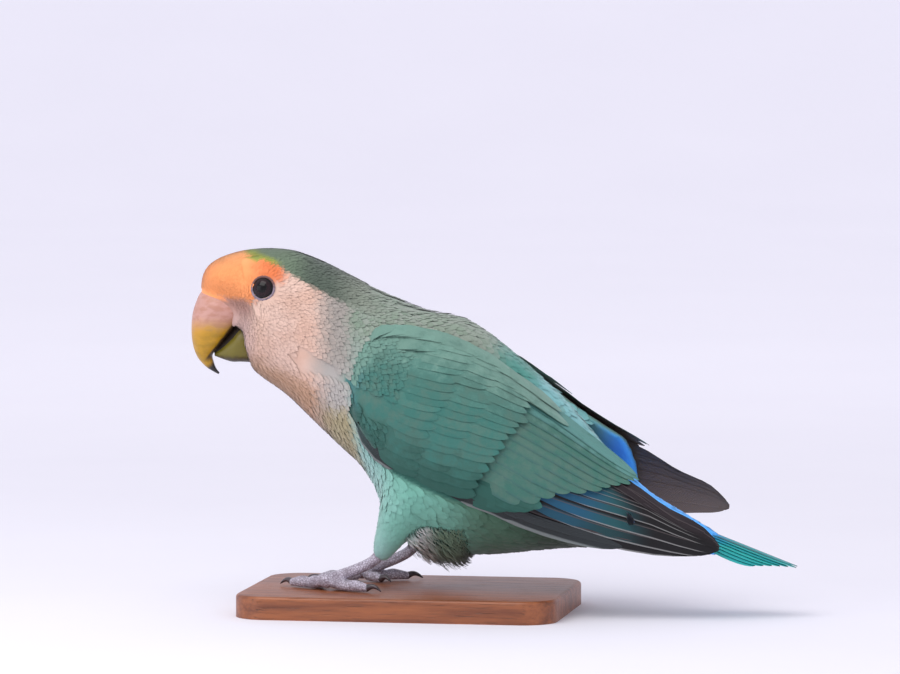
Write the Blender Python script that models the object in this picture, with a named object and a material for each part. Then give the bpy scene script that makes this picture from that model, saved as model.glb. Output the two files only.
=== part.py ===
"""A life-size peach-faced lovebird, standing on a small flat base.

The bird faces -X with its left side towards -Y. Z is up, and the origin is
the centre of the base's underside. Sizes are in millimetres until a mesh is
made, where MM turns them into metres.
"""

import math
from collections import namedtuple

import bmesh
import bpy
from mathutils import Matrix, Vector

# Driving dimensions, in millimetres
MM = 0.001
GAP = 0.3  # clearance between two nodes that touch
BASE_SIZE = (84.0, 58.0, 6.0)
BASE_CENTRE_X = 0.0
BASE_CORNER = 9.0
BASE_EDGE = 0.9
SOLE_Z = BASE_SIZE[2] + GAP
BODY_SIDES = 28
RINGS_A_STATION = 2
LEFT, RIGHT = -1, 1

# Stations of the body, from the bill's root to the tip of the tail coverts. Each has the
# point on the back and the point on the front or belly, in the bird's own
# plane, the half width there, and how much wider the upper half is.
Station = namedtuple("Station", "name back belly half_width lean")
STATIONS = (
    Station("lores", (-55.4, 83.1), (-54.7, 81.0), 2.0, 0.0),
    Station("brow", (-54.5, 88.4), (-51.8, 80.0), 6.6, 0.0),
    Station("forehead", (-51.8, 91.4), (-48.2, 78.0), 9.4, 0.0),
    Station("eye_front", (-47.2, 93.4), (-45.3, 73.2), 11.6, 0.0),
    Station("eye", (-42.0, 94.6), (-44.0, 65.8), 13.0, -0.04),
    Station("crown", (-36.2, 94.9), (-40.4, 61.5), 14.0, -0.06),
    Station("cheek", (-30.3, 94.3), (-36.8, 58.9), 14.5, -0.06),
    Station("nape", (-23.9, 92.0), (-31.9, 55.3), 14.8, -0.03),
    Station("throat", (-15.9, 87.9), (-26.1, 49.6), 16.0, 0.0),
    Station("neck_base", (-6.6, 83.3), (-19.4, 43.4), 18.4, 0.0),
    Station("mantle", (2.6, 79.5), (-13.3, 38.3), 20.6, 0.0),
    Station("shoulder", (11.9, 75.4), (-8.8, 32.1), 22.0, 0.0),
    Station("breast", (21.1, 69.9), (-5.9, 24.0), 22.4, 0.02),
    Station("back", (29.5, 63.0), (2.6, 16.4), 21.8, 0.04),
    Station("belly", (37.4, 56.2), (17.2, 14.6), 19.8, 0.05),
    Station("loin", (45.3, 48.9), (31.7, 16.0), 16.8, 0.05),
    Station("rump", (53.2, 41.2), (45.6, 17.3), 13.2, 0.02),
    Station("vent", (60.5, 34.4), (56.6, 17.1), 9.8, 0.0),
    Station("tail_root", (67.1, 30.2), (64.5, 16.5), 8.0, 0.0),
    Station("tail_coverts", (73.6, 26.6), (72.3, 15.5), 6.4, 0.0),
    Station("covert_tips", (79.3, 23.0), (79.4, 14.9), 4.4, 0.0),
    Station("covert_end", (85.3, 19.6), (85.9, 16.0), 2.0, 0.0),
)
STATION_INDEX = {station.name: i for i, station in enumerate(STATIONS)}

# The head turns a little to its left on the neck
HEAD_TURN = math.radians(10.0)
TURN_AXIS_X = -18.0
TURN_FROM, TURN_TO = STATION_INDEX["cheek"], STATION_INDEX["mantle"]

# Cuts that part the body into nodes, as places along the stations
HEAD_END = 6.6
NECK_END = 8.6
TORSO_END = 17.0

EYE_RADIUS = 3.3
EYE_CENTRE = (-37.8, 10.3, 84.4)  # the right eye; the left one mirrors it
EYE_AXIS = (-0.24, 0.95, 0.18)
LID_RADIUS = 3.3
LID_THICKNESS = 0.55
LID_OUT = 2.1  # from the eye's centre out to the lid ring

LID_TURNS, LID_SIDES = 18, 6

# Stations of the two halves of the bill, from the root to the tip: the upper
# line, the lower line and the half width.
BillStation = namedtuple("BillStation", "upper lower half_width")
UPPER_BILL = (
    BillStation((-49.5, 86.6), (-38.4, 77.8), 5.6),
    BillStation((-53.4, 84.6), (-42.2, 76.8), 6.5),
    BillStation((-55.8, 81.1), (-44.8, 75.6), 6.6),
    BillStation((-56.9, 77.8), (-46.4, 73.4), 6.2),
    BillStation((-57.3, 73.8), (-48.4, 70.9), 5.5),
    BillStation((-57.0, 69.6), (-50.4, 68.4), 4.4),
    BillStation((-55.8, 66.1), (-51.8, 66.6), 3.0),
    BillStation((-53.7, 63.6), (-51.5, 64.7), 1.8),
    BillStation((-51.8, 62.3), (-50.9, 63.1), 0.95),
    BillStation((-50.3, 61.5), (-50.0, 61.9), 0.35),
)
LOWER_BILL = (
    BillStation((-40.4, 76.6), (-40.4, 64.6), 4.6),
    BillStation((-44.4, 75.0), (-44.4, 64.8), 4.9),
    BillStation((-46.6, 72.6), (-46.6, 64.8), 4.5),
    BillStation((-48.8, 70.2), (-48.8, 65.4), 3.4),
    BillStation((-51.3, 67.6), (-51.2, 66.3), 1.6),
)
BILL_SQUARENESS = 2.8  # of the lower half of a section, where 2 is an ellipse
NOSTRIL = (-51.6, 3.9, 82.6)
NOSTRIL_RADIUS = 0.6

# The face narrows towards the bill's root, in front of the eyes
FACE_FROM_X, FACE_LENGTH = -37.5, 8.0
FACE_BAND = (66.0, 73.0, 78.0, 90.0)
FACE_NARROWING = 0.44

# Stations of the folded left wing, from the shoulder to the tip: its edge
# along the back, its edge along the flank, how far it bulges outward between
# them, and how thick the wing is there.
WingStation = namedtuple("WingStation", "top bottom bulge thickness")
WING = (
    WingStation((-12.2, -17.4, 62.6), (-12.6, -17.4, 57.6), 0.4, 1.0),
    WingStation((-10.5, -17.2, 69.1), (-11.8, -17.6, 51.0), 2.2, 3.2),
    WingStation((-5.7, -15.4, 74.5), (-7.9, -17.4, 43.5), 5.0, 4.6),
    WingStation((3.8, -13.8, 74.7), (1.2, -18.0, 38.1), 7.4, 5.2),
    WingStation((14.9, -12.4, 71.7), (12.1, -18.8, 33.4), 8.4, 5.2),
    WingStation((25.5, -10.4, 65.5), (22.3, -19.0, 30.3), 8.4, 4.6),
    WingStation((35.6, -8.0, 57.7), (32.7, -18.6, 26.0), 7.8, 3.8),
    WingStation((44.3, -5.8, 49.8), (42.3, -17.4, 23.0), 6.8, 3.0),
    WingStation((52.0, -4.8, 43.4), (52.5, -16.0, 20.4), 5.4, 2.6),
    WingStation((59.1, -4.8, 38.0), (62.6, -14.5, 18.6), 4.0, 2.3),
    WingStation((67.9, -6.4, 30.3), (71.5, -13.0, 17.8), 2.6, 2.0),
    WingStation((77.3, -8.4, 25.2), (78.5, -11.8, 17.5), 1.0, 1.6),
    WingStation((82.6, -9.4, 19.8), (82.5, -10.6, 18.2), 0.2, 1.1),
)
WING_SPANS, WING_COLUMNS = 15, 6
CORE_SPANS = 11  # of the wing's spans; past them only vanes go on
CORE_THIN_FROM = 6.5
CORE_DEPTH = 0.55  # of the flesh below the outer face of the feathers
EDGE_THICKNESS = 0.8
BED_GAP = 0.55
BED_MARGIN = 0.7

# Vanes of the folded wing. A place is (along the stations, across from the top edge to the
# bottom edge). Each feather of a row lies over the one outside it, like tiles, so a vane is
# tilted and its lower edge stands out.
VANE_THICKNESS = 0.55
TILE_SLOPE = 0.13
PRIMARY_WIDTH, SECONDARY_WIDTH = 5.6, 7.2
PRIMARY_ROOTS = (5.6, 0.94), (7.0, 0.30)
PRIMARY_TIPS = (
    (11.2, 0.90), (12.0, 0.80), (12.0, 0.48), (11.4, 0.24), (10.6, 0.10), (9.7, 0.12), (9.0, 0.28),
)
PRIMARY_LIFT, SECONDARY_LIFT = -0.15, 0.55
LIFT_STEP = 0.05
ROOT_LIFT = -1.1  # a root lies sunk in the flesh
SECONDARY_ROOTS = (4.7, 0.84), (4.4, 0.12)
SECONDARY_TIPS = (5.9, 0.86), (7.0, 0.70), (8.0, 0.50), (8.8, 0.28), (9.2, 0.08)
CovertRow = namedtuple("CovertRow", "count first_root last_root first_tip last_tip width lift")
COVERT_ROWS = (
    CovertRow(3, (4.2, 0.97), (4.7, 0.86), (5.7, 0.97), (6.3, 0.86), 5.6, 0.6),  # primary coverts
    CovertRow(6, (2.9, 0.88), (3.6, 0.14), (4.6, 0.93), (5.6, 0.12), 7.6, 0.8),  # greater coverts
    CovertRow(6, (1.6, 0.82), (2.3, 0.16), (3.1, 0.92), (4.0, 0.10), 7.2, 0.8),  # median coverts
    CovertRow(4, (1.8, 0.08), (4.9, 0.03), (3.7, 0.05), (6.9, 0.03), 4.6, 1.0),  # scapulars
)
# Rows of points along a vane: the share of its length, and the share of its width there
FLIGHT_ROWS = ((0.0, 0.6), (0.4, 1.0), (0.72, 1.0), (0.91, 0.74), (1.0, 0.2))
TAIL_ROWS = ((0.0, 0.7), (0.5, 1.0), (0.9, 0.8), (1.0, 0.25))
COVERT_STEPS = ((0.0, 0.55), (0.5, 1.0), (0.8, 0.82), (1.0, 0.22))

# The right wing's flight feathers are held higher than the left wing's
RIGHT_WING_RISE = 8.8
RIGHT_RISE_FROM_X, RIGHT_RISE_LENGTH = 14.0, 62.0

# The tail: six pairs of feathers, the middle pair on top and longest. They lie as a low roof
# that falls away to both sides.
TAIL_ROOT = (65.0, 0.0, 27.2)
TAIL_TIP = (101.4, 0.0, 13.3)
TAIL_PAIRS = 6
TAIL_FALL = 0.035  # of the roof, a millimetre across
TAIL_STEP = 0.35  # down from one pair to the next
TAIL_SPREAD = (0.9, 0.95)  # of the middle pair's shafts, and more for each pair outside it
TAIL_SHORTER = 0.05  # of each pair's length, for each pair outside the middle one
TAIL_WIDTH = 5.6
CovertTract = namedtuple("CovertTract", "angles start end width lift")
TAIL_COVERTS = (
    CovertTract((58, -58, 30, -30, 0), 17.4, 20.7, 6.4, 0.5),  # over the tail
    CovertTract((148, -148, 180), 17.4, 19.9, 6.4, 0.4),  # under it
)

# The legs: joints of the left one, each with the radius there
THIGH = (
    ((3.0, -11.5, 34.0), 8.4),
    ((0.6, -12.2, 27.0), 7.0),
    ((-2.4, -12.3, 21.6), 4.9),
    ((-4.8, -12.0, 17.2), 3.5),
    ((-6.0, -11.6, 13.9), 2.7),
)
HEEL = (-5.6, -11.7, 14.4)
TOE_ROOT = (-20.0, -11.4, 8.6)
TARSUS_RADII = (1.7, 1.45, 1.3, 1.35, 1.5)
RIGHT_LEG_BACK = 5.0

Toe = namedtuple("Toe", "name heading length radius claw")
TOES = (
    Toe("inner_front", 62.0, 9.5, 1.4, 4.2),
    Toe("outer_front", 32.0, 12.5, 1.55, 4.6),
    Toe("outer_hind", 199.0, 12.5, 1.5, 4.4),
    Toe("inner_hind", 146.0, 7.5, 1.35, 3.8),
)
TOE_SWELLS = (1.0, 0.92, 1.08, 0.86, 1.0, 0.82, 0.62)  # along a toe: its pads and joints
CLAW_STEPS = 4
CLAW_ARCH = 0.9  # how far a claw's curve rises over a straight line to its tip

COLOURS = {
    "face_feathers": ((0.86, 0.52, 0.36), 0.8),
    "neck_feathers": ((0.55, 0.58, 0.52), 0.8),
    "body_feathers": ((0.28, 0.58, 0.50), 0.8),
    "wing_feathers": ((0.10, 0.34, 0.31), 0.75),
    "tail_feathers": ((0.06, 0.42, 0.48), 0.7),
    "bill": ((0.72, 0.52, 0.16), 0.35),
    "foot": ((0.62, 0.60, 0.63), 0.6),
    "eye": ((0.01, 0.008, 0.008), 0.08),
    "base_wood": ((0.24, 0.10, 0.045), 0.5),
}


def clear_scene():
    for obj in list(bpy.data.objects):
        bpy.data.objects.remove(obj)


def material(name):
    made = bpy.data.materials.get(name)
    if made:
        return made
    colour, roughness = COLOURS[name]
    made = bpy.data.materials.new(name)
    made.use_nodes = True
    shader = made.node_tree.nodes["Principled BSDF"]
    shader.inputs["Base Color"].default_value = (*colour, 1.0)
    shader.inputs["Roughness"].default_value = roughness
    made.diffuse_color = (*colour, 1.0)
    return made


def collection(name):
    made = bpy.data.collections.get(name)
    if not made:
        made = bpy.data.collections.new(name)
        bpy.context.scene.collection.children.link(made)
    return made


def object_from(bm, name, finish, group="lovebird"):
    """An object in metres from a closed bmesh in millimetres."""
    bmesh.ops.recalc_face_normals(bm, faces=bm.faces)
    bmesh.ops.scale(bm, vec=(MM, MM, MM), verts=bm.verts)
    mesh = bpy.data.meshes.new(name)
    bm.to_mesh(mesh)
    bm.free()
    mesh.shade_smooth()
    mesh.set_sharp_from_angle(angle=math.radians(40))
    obj = bpy.data.objects.new(name, mesh)
    mesh.materials.append(material(finish))
    collection(group).objects.link(obj)
    return obj


def loft(rings):
    """A closed bmesh through rings of equal count, with a flat cap at each end."""
    bm = bmesh.new()
    layers = [[bm.verts.new(point) for point in ring] for ring in rings]
    for ring, following in zip(layers, layers[1:]):
        for i, corner in enumerate(ring):
            j = (i + 1) % len(ring)
            bm.faces.new((corner, ring[j], following[j], following[i]))
    bm.faces.new(layers[0])
    bm.faces.new(reversed(layers[-1]))
    return bm


def slab(outer, inner):
    """A closed bmesh between two grids of the same size, both split into triangles alike."""
    bm = bmesh.new()
    rows, columns = len(outer), len(outer[0])
    sides = [[[bm.verts.new(p) for p in row] for row in grid] for grid in (outer, inner)]
    for grid in sides:
        for i in range(rows - 1):
            for j in range(columns - 1):
                a, b = grid[i][j], grid[i + 1][j]
                c, d = grid[i + 1][j + 1], grid[i][j + 1]
                bm.faces.new((a, b, c))
                bm.faces.new((a, c, d))
    rim = [(0, j) for j in range(columns)]
    rim += [(i, columns - 1) for i in range(1, rows)]
    rim += [(rows - 1, j) for j in range(columns - 2, -1, -1)]
    rim += [(i, 0) for i in range(rows - 2, 0, -1)]
    for (i, j), (k, m) in zip(rim, rim[1:] + rim[:1]):
        a, b = sides[0][i][j], sides[0][k][m]
        c, d = sides[1][k][m], sides[1][i][j]
        bm.faces.new((a, b, c))
        bm.faces.new((a, c, d))
    return bm


def vane(surface, width, rows, outer_web=0.5, finish="wing_feathers"):
    """A thin closed vane on surface(along, reach), which gives a point and the outward direction."""
    outer, inner = [], []
    for along, share in rows:
        over, under = [], []
        for reach in (-(1 - outer_web) * width * share, 0.0, outer_web * width * share):
            point, outward = surface(along, reach)
            over.append(point)
            under.append(point - outward * VANE_THICKNESS)
        outer.append(over)
        inner.append(under)
    return object_from(slab(outer, inner), "vane", finish)


def between(first, last, share):
    return tuple(a + (b - a) * share for a, b in zip(first, last))


def keep_largest(obj):
    """Deletes every closed surface of the object but the largest one."""
    bm = bmesh.new()
    bm.from_mesh(obj.data)
    left = set(bm.verts)
    shells = []
    while left:
        front = [left.pop()]
        shell = set(front)
        while front:
            for edge in front.pop().link_edges:
                for vert in edge.verts:
                    if vert in left:
                        left.discard(vert)
                        shell.add(vert)
                        front.append(vert)
        shells.append(shell)
    shells.sort(key=lambda shell: -extent(shell))
    for shell in shells[1:]:
        bmesh.ops.delete(bm, geom=list(shell), context="VERTS")
    bm.to_mesh(obj.data)
    bm.free()


def extent(verts):
    lows = [min(v.co[i] for v in verts) for i in range(3)]
    highs = [max(v.co[i] for v in verts) for i in range(3)]
    return sum(high - low for low, high in zip(lows, highs))


def settle(obj):
    """Makes the object's modifiers part of its mesh, and keeps its largest surface."""
    bpy.context.view_layer.update()
    graph = bpy.context.evaluated_depsgraph_get()
    mesh = bpy.data.meshes.new_from_object(obj.evaluated_get(graph))
    obj.modifiers.clear()
    obj.data = mesh
    keep_largest(obj)
    obj.data.name = obj.name
    return obj


def boolean(obj, others, operation, solver):
    """Joins the others to the object, or cuts them from it, and removes them."""
    group = collection("boolean_operands")
    for other in others:
        for owner in other.users_collection:
            owner.objects.unlink(other)
        group.objects.link(other)
    modifier = obj.modifiers.new(operation.lower(), "BOOLEAN")
    modifier.operation = operation
    modifier.operand_type = "COLLECTION"
    modifier.collection = group
    modifier.solver = solver
    settle(obj)
    for other in others:
        bpy.data.objects.remove(other)
    bpy.data.collections.remove(group)
    return obj


def join(obj, others, solver="MANIFOLD"):
    return boolean(obj, others, "UNION", solver)


def cut(obj, cutters, solver="MANIFOLD"):
    return boolean(obj, cutters, "DIFFERENCE", solver)


def curve_through(values, place):
    """Catmull-Rom value at a fractional index into a list of equal-length tuples."""
    last = len(values) - 1
    i = min(int(place), last - 1)
    t = place - i
    a, b, c, d = (values[min(max(k, 0), last)] for k in (i - 1, i, i + 1, i + 2))
    return tuple(
        0.5 * (2 * q + (r - p) * t + (2 * p - 5 * q + 4 * r - s) * t**2
               + (3 * q - p - 3 * r + s) * t**3)
        for p, q, r, s in zip(a, b, c, d)
    )


def smoothstep(value):
    value = min(max(value, 0.0), 1.0)
    return value * value * (3 - 2 * value)


def head_turned(point, share=1.0):
    """The point after the head's turn, of which the neck takes a share."""
    pivot = Vector((TURN_AXIS_X, 0, 0))
    return Matrix.Rotation(HEAD_TURN * share, 3, "Z") @ (Vector(point) - pivot) + pivot


# Body: one loft through the stations, parted where the head, neck, torso and tail meet

BODY_VALUES = [(*s.back, *s.belly, s.half_width, s.lean) for s in STATIONS]


def face_share(x, z):
    """The share of the head's width that is kept there."""
    low, low_full, high_full, high = FACE_BAND
    band = smoothstep((z - low) / (low_full - low)) * smoothstep((high - z) / (high - high_full))
    return 1 - FACE_NARROWING * band * smoothstep((FACE_FROM_X - x) / FACE_LENGTH)


def body_section(place):
    """Centre, half width, half height, lean and the head's turn at that place."""
    back_x, back_z, belly_x, belly_z, half_width, lean = curve_through(BODY_VALUES, place)
    back, belly = Vector((back_x, 0, back_z)), Vector((belly_x, 0, belly_z))
    turn = smoothstep((TURN_TO - place) / (TURN_TO - TURN_FROM))
    return (back + belly) / 2, half_width, (back - belly) / 2, lean, turn


def section_point(section, angle):
    """The skin's point at that angle from the back, and the outward direction in the section."""
    centre, half_width, half, lean, turn = section
    point = centre + half * math.cos(angle)
    reach = half_width * math.sin(angle) * (1 + lean * math.cos(angle))
    point.y = reach * face_share(point.x, point.z)
    outward = half.normalized() * math.cos(angle) * half_width
    outward += Vector((0, math.sin(angle) * half.length, 0))
    return head_turned(point, turn), outward.normalized()


def body_ring(place):
    section = body_section(place)
    return [section_point(section, 2 * math.pi * i / BODY_SIDES)[0] for i in range(BODY_SIDES)]


def body_length_at(place):
    """Millimetres along the body's middle for one station there."""
    def middle(where):
        x, z, u, w = curve_through(BODY_VALUES, where)[:4]
        return Vector(((x + u) / 2, (z + w) / 2))
    return (middle(place + 0.05) - middle(place - 0.05)).length / 0.1


def body_part(name, start, end, finish, rings_a_station=RINGS_A_STATION):
    count = max(2, round((end - start) * rings_a_station))
    places = [start + (end - start) * i / count for i in range(count + 1)]
    return object_from(loft([body_ring(p) for p in places]), name, finish)


def after(place):
    """The place one gap further along the body."""
    return place + GAP / body_length_at(place)


# Bill: two lofts whose roots sink into the face

def bill_ring(station, grow, sides):
    upper, lower = (Vector((x, 0, z)) for x, z in (station.upper, station.lower))
    centre, half = (upper + lower) / 2, (upper - lower) / 2
    half *= 1 + grow / half.length
    ring = []
    for i in range(sides):
        angle = 2 * math.pi * i / sides
        up, out = math.cos(angle), math.sin(angle)
        if up < 0:
            up, out = (math.copysign(abs(v) ** (2 / BILL_SQUARENESS), v) for v in (up, out))
        ring.append(head_turned(centre + half * up + Vector((0, (station.half_width + grow) * out, 0))))
    return ring


def bill_half(name, stations, grow=0.0, sides=16):
    values = [(*s.upper, *s.lower, s.half_width) for s in stations]
    steps = 2 * (len(stations) - 1)
    rings = []
    for i in range(steps + 1):
        x, z, u, w, half_width = curve_through(values, i / 2)
        rings.append(bill_ring(BillStation((x, z), (u, w), half_width), grow, sides))
    return object_from(loft(rings), name, "bill")


# Eyes, with a socket and a lid ring on the head

def eye_centre(side):
    x, y, z = EYE_CENTRE
    return head_turned((x, side * y, z))


def ball(name, centre, radius, finish, sides=14, rings=8):
    bm = bmesh.new()
    bmesh.ops.create_uvsphere(bm, u_segments=sides, v_segments=rings, radius=radius)
    bmesh.ops.rotate(bm, matrix=Matrix.Rotation(math.pi / 2, 3, "X"), verts=bm.verts)
    bmesh.ops.translate(bm, vec=centre, verts=bm.verts)
    return object_from(bm, name, finish)


def lid_ring(side):
    """A ring round the eye, square to the eye's own axis, which points a little forward."""
    x, y, z = EYE_AXIS
    outward = (head_turned((x, side * y, z)) - head_turned((0, 0, 0))).normalized()
    along = outward.cross(Vector((0, 0, 1))).normalized()
    up = along.cross(outward)
    middle = eye_centre(side) + outward * LID_OUT
    bm = bmesh.new()
    rings = []
    for i in range(LID_TURNS):
        angle = 2 * math.pi * i / LID_TURNS
        spoke = along * math.cos(angle) + up * math.sin(angle)
        ring = []
        for j in range(LID_SIDES):
            tilt = 2 * math.pi * j / LID_SIDES
            reach = spoke * (LID_RADIUS + LID_THICKNESS * math.cos(tilt))
            ring.append(bm.verts.new(middle + reach + outward * LID_THICKNESS * math.sin(tilt)))
        rings.append(ring)
    for ring, following in zip(rings, rings[1:] + rings[:1]):
        for i, corner in enumerate(ring):
            j = (i + 1) % LID_SIDES
            bm.faces.new((corner, ring[j], following[j], following[i]))
    return object_from(bm, "lid", "face_feathers")


# Wings: a folded wing is a curved plate whose outer face bulges between its two edges

WING_VALUES = [(*s.top, *s.bottom, s.bulge, s.thickness) for s in WING]


def wing_side(point, side):
    """The left wing's point on the wing of that side."""
    if side == LEFT:
        return point
    share = smoothstep((point.x - RIGHT_RISE_FROM_X) / RIGHT_RISE_LENGTH)
    return Vector((point.x, -point.y, point.z + RIGHT_WING_RISE * share))


def wing_side_direction(direction, side):
    """The left wing's direction on the wing of that side."""
    return Vector((direction.x, side * -direction.y, direction.z))


def wing_run(along):
    """The direction from the shoulder to the tip at that place."""
    ahead = curve_through(WING_VALUES, min(along + 0.2, len(WING) - 1))
    behind = curve_through(WING_VALUES, max(along - 0.2, 0))
    return Vector(ahead[:3]) + Vector(ahead[3:6]) - Vector(behind[:3]) - Vector(behind[3:6])


def wing_frame(along, across):
    """Point on the left wing's outer face, the outward direction and the wing's thickness there."""
    values = curve_through(WING_VALUES, along)
    top, bottom = Vector(values[:3]), Vector(values[3:6])
    bulge, thickness = values[6:]
    outward = (bottom - top).cross(wing_run(along)).normalized()
    if outward.y > 0:
        outward = -outward
    swell = 4 * across * (1 - across)
    point = top.lerp(bottom, across) + outward * bulge * swell
    depth = EDGE_THICKNESS + (thickness - EDGE_THICKNESS) * min(1.0, 1.6 * swell)
    return point, outward, max(depth, EDGE_THICKNESS)


def wing_rim(along, column):
    """The direction past the wing's edge, in its own surface: column 0 is the top edge, 3 the bottom."""
    last = len(WING) - 1
    ahead = Vector(curve_through(WING_VALUES, min(along + 0.1, last))[column:column + 3])
    behind = Vector(curve_through(WING_VALUES, max(along - 0.1, 0))[column:column + 3])
    values = curve_through(WING_VALUES, along)
    across = Vector(values[3:6]) - Vector(values[:3])
    rim = (ahead - behind).cross(wing_frame(along, column / 3)[1]).normalized()
    inward = across if column == 0 else -across
    return -rim if rim.dot(inward) > 0 else rim


def wing_bed(side, outside=12.0):
    """The space that a body leaves for the folded wing, a gap larger than the wing."""
    outer, inner = [], []
    last = len(WING) - 1
    for i in range(WING_SPANS + 1):
        along = last * i / WING_SPANS
        past_top, past_bottom = wing_rim(along, 0), wing_rim(along, 3)
        past_end = wing_run(along).normalized() * (-1 if i == 0 else i == WING_SPANS)
        over, under = [], []
        for j in range(WING_COLUMNS + 1):
            across = j / WING_COLUMNS
            point, outward, depth = wing_frame(along, across)
            shift = past_top * max(1 - 2 * across, 0) + past_bottom * max(2 * across - 1, 0)
            shift = (shift + past_end * (1 - abs(2 * across - 1))) * BED_MARGIN
            over.append(wing_side(point + shift + outward * outside, side))
            under.append(wing_side(point + shift - outward * (depth + BED_GAP), side))
        outer.append(over)
        inner.append(under)
    return object_from(slab(outer, inner), "wing_bed", "wing_feathers")


def wing_core(name, side):
    """The flesh of the folded wing, just under its feathers."""
    outer, inner = [], []
    span = (len(WING) - 1) / WING_SPANS
    end = span * CORE_SPANS
    for i in range(CORE_SPANS + 1):
        along = span * i
        thin = 1 - 0.55 * smoothstep((along - CORE_THIN_FROM) / (end - CORE_THIN_FROM))
        over, under = [], []
        for j in range(WING_COLUMNS + 1):
            point, outward, depth = wing_frame(along, j / WING_COLUMNS)
            sunk = CORE_DEPTH * smoothstep(along / 2)
            over.append(wing_side(point - outward * sunk, side))
            under.append(wing_side(point - outward * max(depth * thin, sunk + 0.5), side))
        outer.append(over)
        inner.append(under)
    return object_from(slab(outer, inner), name, "wing_feathers")


def wing_vane(side, root, tip, width, lifts, rows, outer_web=0.5):
    """A vane that lies along the folded wing from its root's place to its tip's."""
    def surface(share, reach):
        along, across = between(root, tip, share)
        values = curve_through(WING_VALUES, along)
        height = (Vector(values[3:6]) - Vector(values[:3])).length
        edge = min(max(across + reach / height, 0.0), 1.0)
        point, outward, depth = wing_frame(along, edge)
        lift = lifts[0] + (lifts[1] - lifts[0]) * smoothstep(share * 1.6)
        lift = max(lift + TILE_SLOPE * (edge - across) * height, VANE_THICKNESS - depth)
        return wing_side(point + outward * lift, side), wing_side_direction(outward, side)
    return vane(surface, width, rows, outer_web)


def wing(name, side):
    core = wing_core(name, side)
    vanes = []
    for i, tip in enumerate(PRIMARY_TIPS):
        root = between(*PRIMARY_ROOTS, i / (len(PRIMARY_TIPS) - 1))
        lifts = (ROOT_LIFT, PRIMARY_LIFT + LIFT_STEP * i)
        vanes.append(wing_vane(side, root, tip, PRIMARY_WIDTH, lifts, FLIGHT_ROWS, 0.4))
    for i, tip in enumerate(SECONDARY_TIPS):
        root = between(*SECONDARY_ROOTS, i / (len(SECONDARY_TIPS) - 1))
        lifts = (ROOT_LIFT, SECONDARY_LIFT + LIFT_STEP * i)
        vanes.append(wing_vane(side, root, tip, SECONDARY_WIDTH, lifts, FLIGHT_ROWS, 0.4))
    for row in COVERT_ROWS:
        for i in range(row.count):
            share = i / (row.count - 1)
            root = between(row.first_root, row.last_root, share)
            tip = between(row.first_tip, row.last_tip, share)
            vanes.append(wing_vane(side, root, tip, row.width, (ROOT_LIFT, row.lift), COVERT_STEPS))
    return join(core, vanes)


# Feet: tapered tubes joined at the toes' root, flat under the toes

def tube(name, points, radii, finish, roundness=2):
    """A tapered tube, as a mesh with its caps welded."""
    data = bpy.data.curves.new(name, "CURVE")
    data.dimensions = "3D"
    data.bevel_depth = MM
    data.bevel_resolution = roundness
    data.use_fill_caps = True
    spline = data.splines.new("POLY")
    spline.points.add(len(points) - 1)
    for target, point, radius in zip(spline.points, points, radii):
        target.co = (*(Vector(point) * MM), 1.0)
        target.radius = radius
    guide = bpy.data.objects.new(name + "_guide", data)
    collection("guides").objects.link(guide)
    bpy.context.view_layer.update()
    graph = bpy.context.evaluated_depsgraph_get()
    mesh = bpy.data.meshes.new_from_object(guide.evaluated_get(graph))
    bpy.data.objects.remove(guide)
    bm = bmesh.new()
    bm.from_mesh(mesh)
    bmesh.ops.remove_doubles(bm, verts=bm.verts, dist=0.00001)
    bmesh.ops.scale(bm, vec=(1 / MM, 1 / MM, 1 / MM), verts=bm.verts)
    return object_from(bm, name, finish)


def leg_point(point, side):
    x, y, z = point
    return Vector((x, y, z)) if side == LEFT else Vector((x + RIGHT_LEG_BACK, -y, z))


def thigh(name, side, grow=0.0):
    points = [leg_point(p, side) for p, _ in THIGH]
    radii = [r + grow for _, r in THIGH]
    rings = []
    sides = 16
    for i, (point, radius) in enumerate(zip(points, radii)):
        before, beyond = points[max(i - 1, 0)], points[min(i + 1, len(points) - 1)]
        run = (beyond - before).normalized()
        across = run.cross(Vector((0, 1, 0))).normalized()
        outward = run.cross(across)
        ring = []
        for j in range(sides):
            angle = 2 * math.pi * j / sides
            ring.append(point + (across * math.cos(angle) + outward * math.sin(angle)) * radius)
        rings.append(ring)
    return object_from(loft(rings), name, "body_feathers")


def toe_and_claw(toe, side, root):
    heading = math.radians(toe.heading)
    forward = Vector((-math.cos(heading), -side * math.sin(heading), 0))
    points, radii = [], []
    for i, swell in enumerate(TOE_SWELLS):
        share = i / (len(TOE_SWELLS) - 1)
        radius = toe.radius * swell
        drop = smoothstep(share * 2.2)
        height = (SOLE_Z + radius * 0.85) * drop + root.z * (1 - drop)
        points.append(Vector((root.x, root.y, height)) + forward * toe.length * share)
        radii.append(radius)
    pieces = [tube(toe.name, points, radii, "foot", 1)]
    start = points[-1] - forward * 0.6
    end = start + forward * toe.claw
    end.z = SOLE_Z + 0.3
    points, radii = [], []
    for i in range(CLAW_STEPS + 1):
        share = i / CLAW_STEPS
        arch = Vector((0, 0, CLAW_ARCH * math.sin(math.pi * share)))
        points.append(start.lerp(end, share) + arch)
        radii.append(0.8 * (1 - share) + 0.2 * share)
    pieces.append(tube(toe.name + "_claw", points, radii, "foot", 1))
    return pieces


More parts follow.
